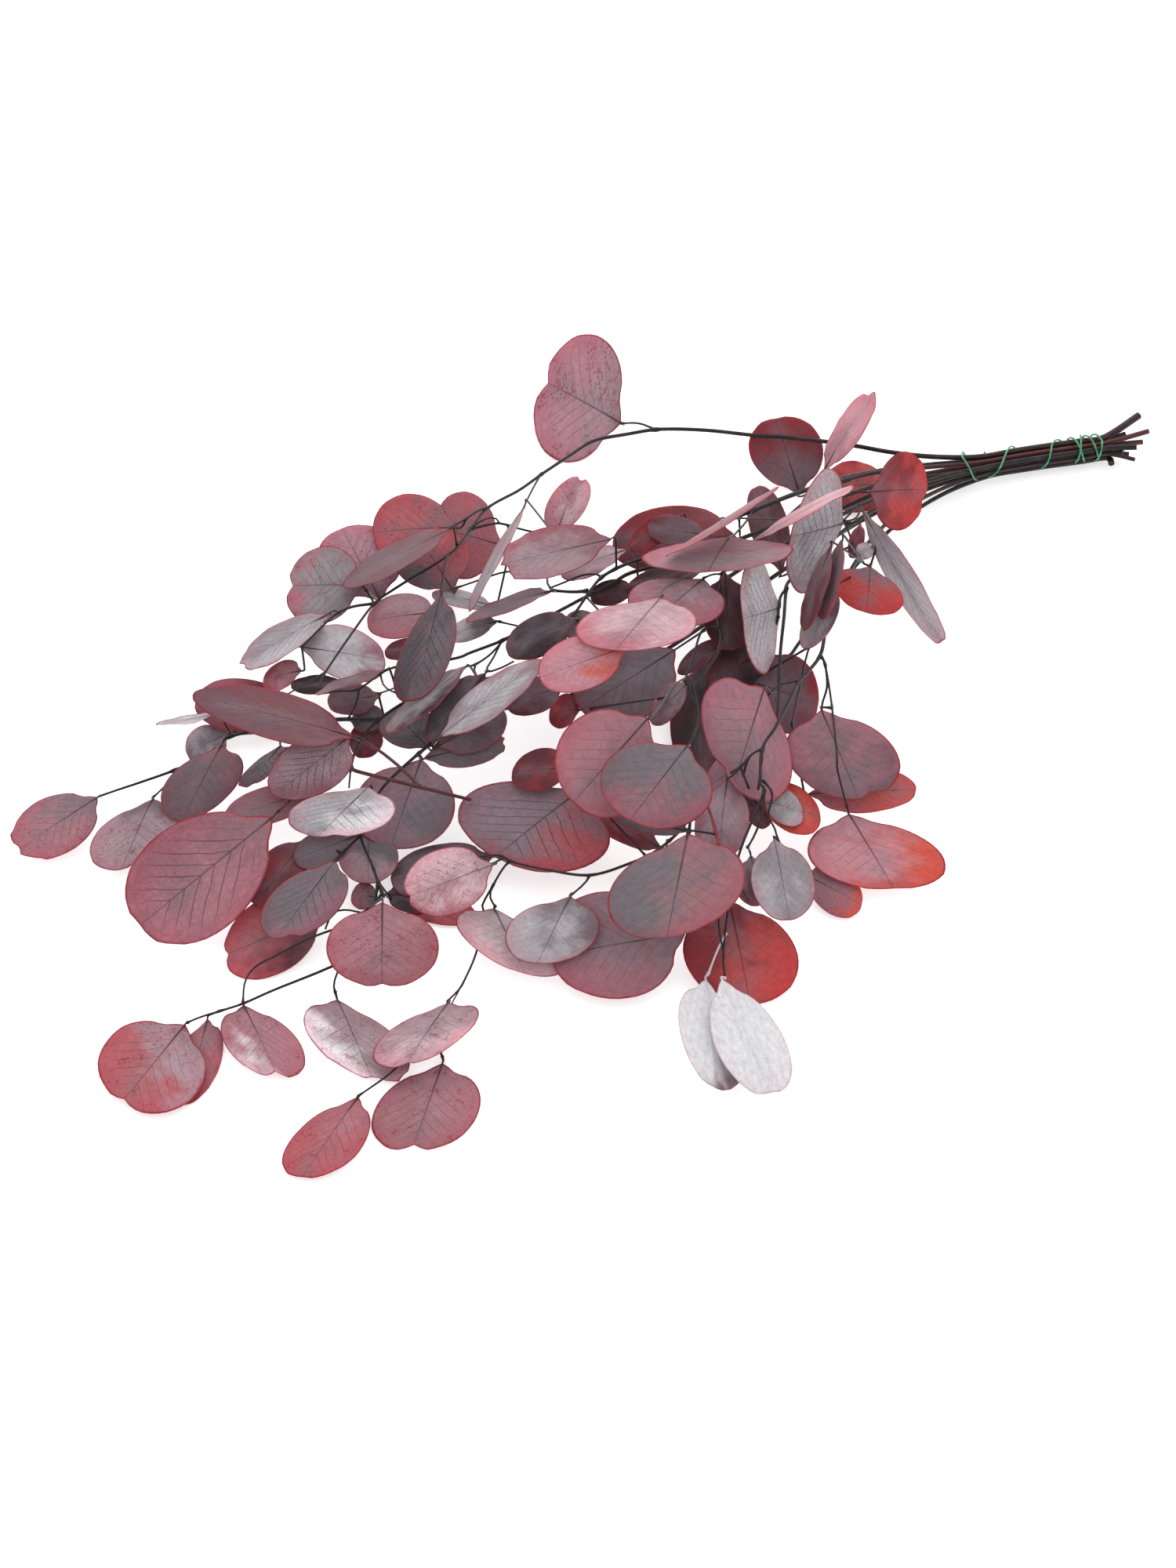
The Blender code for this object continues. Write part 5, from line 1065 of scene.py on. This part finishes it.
def leaf_tree():
    """Blanks set on their places and bent to each leaf's own shape, with a slow wave over the blade."""
    tree, given = new_tree("bent leaves", "GeometryNodeTree", {"Leaves": "Geometry"}, Places="Geometry",
                           Blanks="Collection", Thickness="Float", Wave="Float", Finish="Material")
    sum_of, times = sums_in(tree)

    def vector(name):
        return kept(tree, name, "FLOAT_VECTOR")

    def added(one, other, way="ADD"):
        return put(tree, "ShaderNodeVectorMath", one, other, operation=way)

    def scaled(one, scale):
        return put(tree, "ShaderNodeVectorMath", one, Scale=scale, operation="SCALE")

    def noise(*values):
        return put(tree, "ShaderNodeTexNoise", own, *values)

    blanks = put(tree, "GeometryNodeCollectionInfo", given["Blanks"], True, True)
    set_down = put(tree, "GeometryNodeInstanceOnPoints", Points=given["Places"], Instance=blanks,
                   Pick_Instance=True, Instance_Index=kept(tree, "outline", "INT"))
    real = put(tree, "GeometryNodeRealizeInstances", set_down)
    x, y, z = put(tree, "ShaderNodeSeparateXYZ", vector("flat")).outputs
    x_squared, y_squared = times(x, x), times(y, y)
    sheet = added(scaled(vector("half_length"), y), scaled(vector("half_width"), x))
    sheet = added(sheet, vector("middle"))
    arched = times(kept(tree, "arch"), sum_of("SUBTRACT", 1.0, y_squared))
    cupped = sum_of("MULTIPLY_ADD", x_squared, kept(tree, "cup"), arched)
    own = put(tree, "ShaderNodeCombineXYZ", x, y, times(kept(tree, "variety"), 37.0))
    slow, cloud = noise(1.3, 2.0, 0.5), noise(1.5, 3.0, 0.6)
    weather = put(tree, "ShaderNodeCombineXYZ", cloud, noise(3.2, 1.0, 0.5), noise(2.6, 2.0, 0.5))
    outward = sum_of("MINIMUM", sum_of("ADD", x_squared, y_squared), 1.2)
    wave = times(sum_of("SUBTRACT", slow, 0.5), outward)
    blade = added(sheet, scaled(vector("facing"), sum_of("MULTIPLY_ADD", wave, given["Wave"], cupped)))
    blade = added(blade, (-1.0, -1.0, BLADE_LOWEST), "MAXIMUM")
    blade = added(blade, scaled(vector("facing"), times(z, given["Thickness"])))
    bent = put(tree, "GeometryNodeSetPosition", real, Position=blade)
    noted = put(tree, "GeometryNodeStoreNamedAttribute", bent, Name="weather", Value=weather,
                data_type="FLOAT_VECTOR", domain="POINT")
    end_tree(tree, noted, given["Finish"])
    return tree


def leaf_places(leaves):
    """One point for each leaf, with its place, directions, bends, outline and dyes."""
    mesh = bpy.data.meshes.new("places")
    mesh.from_pydata([(0.0, 0.0, 0.0)] * len(leaves), [], [])
    notes = []
    for index, leaf in leaves:
        side = 1.0 if float(np.dot(np.cross(leaf.half_width, leaf.half_length), leaf.normal)) > 0 else -1.0
        main, second, lean, outline, marks = leaf.look
        notes.append({
            ("middle", "FLOAT_VECTOR"): laid(leaf.middle),
            ("half_width", "FLOAT_VECTOR"): swung_flat(leaf.half_width) * MILLIMETRE,
            ("half_length", "FLOAT_VECTOR"): swung_flat(leaf.half_length) * MILLIMETRE,
            ("facing", "FLOAT_VECTOR"): swung_flat(leaf.normal) * side,
            ("lean", "FLOAT_VECTOR"): lean,
            ("marks", "FLOAT_VECTOR"): MARKS[marks],
            ("arch", "FLOAT"): leaf.arch * side * MILLIMETRE,
            ("cup", "FLOAT"): leaf.cup * side * MILLIMETRE,
            ("variety", "FLOAT"): np.random.default_rng(VARIETY_SEED + index).uniform(0.0, 1.0),
            ("front", "FLOAT"): side,
            ("main", "FLOAT_COLOR"): [*DYES[main], 1.0],
            ("second", "FLOAT_COLOR"): [*DYES[second], 1.0],
            ("outline", "INT"): list(OUTLINES).index(outline)})
    for name, kind in notes[0]:
        note(mesh, name, kind, [values[name, kind] for values in notes])
    return mesh


def leaf_surface():
    """The group that paints a leaf: two dyes, grey bloom, net veins, flecks and a red rim that is partly
    painted glow.
    """
    paints = {"Color": "Color", "Roughness": "Float", "Height": "Float"}
    tree, given = new_tree("dyed leaf surface", "ShaderNodeTree", paints, **FROM_LEAF,
                           **dict.fromkeys(STAINS, "Color"))
    sum_of, times = sums_in(tree)

    def parts(name):
        return put(tree, "ShaderNodeSeparateXYZ", given[name]).outputs

    def less(value, amount):
        return sum_of("SUBTRACT", value, amount)

    def ramp(value, low, high, start=0.0, end=1.0, way="SMOOTHSTEP"):
        return put(tree, "ShaderNodeMapRange", value, low, high, start, end, interpolation_type=way)

    def over(share, below, above, way="MIX"):
        return put(tree, "ShaderNodeMix", share, below, above, data_type="RGBA", blend_type=way)

    x, y, z = parts("Flat")
    lean_x, lean_y, shift = parts("Lean")
    fleck_mark, side_mark, net_mark = parts("Marks")
    cloud, drift, patch = parts("Weather")
    aside = sum_of("ABSOLUTE", x)
    tint = sum_of("MINIMUM", times(side_mark, 2.0), 1.0)
    own = put(tree, "ShaderNodeCombineXYZ", sum_of("MULTIPLY_ADD", given["Variety"], 53.0, x), y)
    mottle = put(tree, "ShaderNodeTexNoise", own, 7.0, 4.0, 0.75, noise_dimensions="2D")
    grain = put(tree, "ShaderNodeTexNoise", own, 13.0, 1.0, noise_dimensions="2D")

    # The two dyes meet along a cloudy border.
    slope = sum_of("MULTIPLY_ADD", lean_x, x, times(lean_y, y))
    base = sum_of("ADD", sum_of("MULTIPLY_ADD", slope, 0.5, 0.5), shift)
    cloudy = sum_of("MULTIPLY_ADD", less(cloud, 0.5), 1.5, base)
    colour = over(ramp(cloudy, 0.25, 0.75), given["Main"], given["Second"])

    # Grey bloom near the neck and the midrib, and a blush towards the rim.
    bloom = sum_of("MAXIMUM", ramp(y, 0.0, -1.1), times(ramp(aside, 0.5, 0.0), 0.7))
    bloom = times(bloom, times(tint, ramp(patch, 0.35, 0.65, 0.15, 0.6)))
    colour = over(bloom, colour, given["Bloom"])
    outer = sum_of("MULTIPLY_ADD", less(cloud, 0.5), 0.9, given["Edge"])
    blush = times(times(ramp(outer, 0.5, 1.0), ramp(y, -1.0, 0.3, 0.35, 1.0)), tint)
    colour = over(blush, colour, given["Blush"], "MULTIPLY")

    # Side veins climb from the midrib, with a fine net between them and a margin vein inside the rim.
    climb = sum_of("MULTIPLY_ADD", aside, -VEIN_CLIMB, y)
    climb = sum_of("MULTIPLY_ADD", times(x, x), VEIN_SLACK, climb)
    climb = sum_of("MULTIPLY_ADD", drift, VEIN_WANDER, climb)
    beat = sum_of("FRACT", sum_of("MULTIPLY_ADD", climb, SIDE_VEINS, given["Variety"]))
    side_vein = ramp(sum_of("DIVIDE", sum_of("ABSOLUTE", less(beat, 0.5)), side_mark), 0.065, 0.015)
    side_vein = times(side_vein, ramp(given["Edge"], 0.92, 0.5, 0.15, 1.0))
    rib_width = ramp(y, -1.1, 0.95, 0.032, 0.008, "LINEAR")
    midrib = less(1.0, sum_of("MINIMUM", sum_of("DIVIDE", aside, rib_width), 1.0))
    relief = sum_of("MULTIPLY_ADD", sum_of("MAXIMUM", side_vein, midrib), -0.7, grain)
    side_vein = times(times(side_vein, side_mark), ramp(mottle, 0.3, 0.55, 0.6, 1.0))
    net = put(tree, "ShaderNodeTexVoronoi", own, 9.0, feature="DISTANCE_TO_EDGE", voronoi_dimensions="2D")
    net_vein = times(ramp(net, 0.06, 0.01, 0.0, 0.4), net_mark)
    margin = ramp(sum_of("ABSOLUTE", less(given["Edge"], 0.87)), 0.02, 0.004, 0.0, 0.16)
    veins = sum_of("MAXIMUM", sum_of("MAXIMUM", side_vein, midrib),
                   sum_of("MAXIMUM", net_vein, times(margin, side_mark)))
    veins = sum_of("MINIMUM", times(times(veins, tint), 0.75), 0.85)
    colour = over(veins, colour, given["Vein"])

    # Lighter and darker mottling, red flecks and stains, the rim, partly a red edge and partly painted glow
    # of light through it, and a greyer back.
    light = ramp(mottle, 0.25, 0.75, 0.8, 1.2, "LINEAR")
    lit = put(tree, "ShaderNodeVectorMath", colour, Scale=light, operation="SCALE")
    dots = put(tree, "ShaderNodeTexVoronoi", own, 10.0, feature="F1", voronoi_dimensions="2D")
    fleck = times(ramp(dots, 0.28, 0.12), ramp(drift, 0.52, 0.64))
    stain = times(ramp(mottle, 0.52, 0.64), ramp(patch, 0.46, 0.58))
    marked = times(sum_of("MAXIMUM", fleck, stain), times(fleck_mark, 0.6))
    colour = over(marked, lit, given["Fleck"])
    # The red rim: partly the blade's own red edge, partly painted glow of light shining through the thin
    # margin.
    rim = times(times(ramp(given["Edge"], 0.955, 0.99), ramp(patch, 0.35, 0.6, 0.5, 0.9)), tint)
    colour = over(rim, colour, given["Rim"])
    back = ramp(times(z, given["Front"]), 0.0, -0.1, 0.0, 0.3)
    rough = ramp(mottle, 0.3, 0.7, 0.48, 0.66, "LINEAR")
    put(tree, "NodeGroupOutput", over(back, colour, given["Bloom"]), rough, relief)
    return tree


leaf_finish, tree, shader = new_finish("dyed leaf", Specular_IOR_Level=0.22)
sources = {name: [*colour, 1.0] for name, colour in STAINS.items()}
for name, kind in FROM_LEAF.items():
    leaf_note = put(tree, "ShaderNodeAttribute", attribute_name=name.lower())
    sources[name] = leaf_note.outputs["Fac" if kind == "Float" else kind]
blade_paint = put(tree, "ShaderNodeGroup", node_tree=leaf_surface(), **sources).outputs
relief = put(tree, "ShaderNodeBump", Strength=0.35, Distance=0.0004, Height=blade_paint["Height"])
feed(tree, shader, Base_Color=blade_paint["Color"], Roughness=blade_paint["Roughness"], Normal=relief)

blanks = bpy.data.collections.new("leaf blanks")
for number, outline in enumerate(OUTLINES.values()):
    blanks.objects.link(leaf_blank(f"blank {number:02d}", outline, 1.3 * number))
bend_tree = leaf_tree()
for stem in PLACE:
    own_leaves = [(i, leaf) for i, leaf in enumerate(ALL_LEAVES) if leaf.node == stem]
    foliage = made(stem + "_leaves", leaf_places(own_leaves), bend_tree, Blanks=blanks,
                   Thickness=BLADE_THICKNESS, Wave=WAVE, Finish=leaf_finish)
    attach(foliage, "root")
    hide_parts("stem_" + stem)
for blank in list(blanks.objects):
    bpy.data.objects.remove(blank)
bpy.data.collections.remove(blanks)

# The binding wire.
# Green coated florist's wire: two rounds wound over each other near the cut ends, then open turns towards
# the leaves. It lies on the outside of the bundle and crosses itself where the rounds meet.
WIRE_RADIUS = 0.55
WIRE_RING_RADIUS = 8.5
WIRE_STEPS = 12
WIRE_STEP = 1.2
WIRE_FIRST_TURN = math.radians(18)
ACROSS_BUNDLE = np.array([-0.15, 0.989, 0.0])

# The share by which the turns draw in on the underside, and where that is.
WIRE_HUG = 0.3
WIRE_HUG_TURN = math.radians(230)

# Where the wire crosses its first round, in half turns, and how far it rises over it.
CROSSING = 3.75
CROSSING_SPREAD = 1.25
CROSSING_RISE = 1.1

# Where the wire lies along the bundle (u) after how many half turns.
WIRE_TURNS = [(246.0, 0.0), (261.0, 2.5), (247.5, 5.0), (259.5, 7.0), (236.0, 8.4), (228.0, 9.4),
              (213.0, 10.4), (199.0, 11.4), (190.0, 12.4), (201.0, 13.4), (204.0, 14.0)]

us = [station[0] for station in BUNDLE][::-1]
spreads = [station[3] for station in BUNDLE][::-1]
middle = np.array(traced([station[:3] for station in BUNDLE])[::-1])
wire_points = []
for k in range(int(WIRE_TURNS[-1][1] * WIRE_STEPS) + 1):
    half_turns = k / WIRE_STEPS
    u = float(np.interp(half_turns, [t for _, t in WIRE_TURNS], [u for u, _ in WIRE_TURNS]))
    turn = math.pi * half_turns + WIRE_FIRST_TURN
    centre = np.array([np.interp(u, us, middle[:, c]) for c in range(3)])
    layer = CROSSING_RISE * max(0.0, 1.0 - abs(half_turns - CROSSING) / CROSSING_SPREAD)
    hug = 1.0 - WIRE_HUG * max(0.0, math.cos(turn - WIRE_HUG_TURN))
    radius = WIRE_RING_RADIUS * hug * float(np.interp(u, us, spreads)) + layer
    wire_points.append(centre + radius * (math.cos(turn) * ACROSS_BUNDLE + math.sin(turn) * UP))
wire_finish, tree, shader = new_finish("green wire coat", Specular_IOR_Level=0.6)
place = put(tree, "ShaderNodeTexCoord").outputs["Object"]
streak = put(tree, "ShaderNodeTexNoise", place, 220.0, 3.0)
green = put(tree, "ShaderNodeMix", put(tree, "ShaderNodeMapRange", streak, 0.35, 0.7),
            [*dye(22, 112, 66), 1.0], [*dye(78, 172, 124), 1.0], data_type="RGBA")
scuff = put(tree, "ShaderNodeMapRange", streak, 0.3, 0.7, 0.24, 0.4)
feed(tree, shader, Base_Color=green, Roughness=scuff)
wire_count = len(wire_points)
wire_run = (wire_points, [WIRE_RADIUS] * wire_count, [BARK["dark"]] * wire_count, False)
wire = made("green_wire", line_mesh([wire_run]), run_tree, Step=WIRE_STEP * MILLIMETRE, Sides=TWIG_SIDES,
            Knuckle=0.0, Reach=MILLIMETRE, Finish=wire_finish)
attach(wire, "root")
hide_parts("binding_wire")

# The light.
# A bright tent of soft white light, brightest high behind the bunch, so that blades which lie flat or lean
# back take a white sheen, with one wide lamp there for soft shadows.
TENT_LOW = 0.9
TENT_HIGH = 1.35
LAMP_DISTANCE = 3.2
BEHIND = swung_flat(TO_EYE) * np.array([-1.0, -1.0, 1.0])

world = bpy.data.worlds.new("light tent")
world.use_nodes = True
tree = world.node_tree
way = put(tree, "ShaderNodeTexCoord").outputs["Generated"]
facing = put(tree, "ShaderNodeVectorMath", way, BEHIND.tolist(), operation="DOT_PRODUCT")
glow = put(tree, "ShaderNodeMapRange", facing, -0.2, 0.95, TENT_LOW, TENT_HIGH,
           interpolation_type="SMOOTHSTEP")
feed(tree, tree.nodes["Background"], Color=(1.0, 1.0, 1.0, 1.0), Strength=glow)
bpy.context.scene.world = world

lamp = shown("back lamp", bpy.data.lights.new("back lamp", "AREA"))
lamp.data.size = 2.2
lamp.data.energy = 14.0
lamp.location = Vector(BEHIND) * LAMP_DISTANCE
lamp.rotation_euler = (-lamp.location).to_track_quat("-Z", "Y").to_euler()
bpy.context.scene.view_settings.view_transform = "Standard"
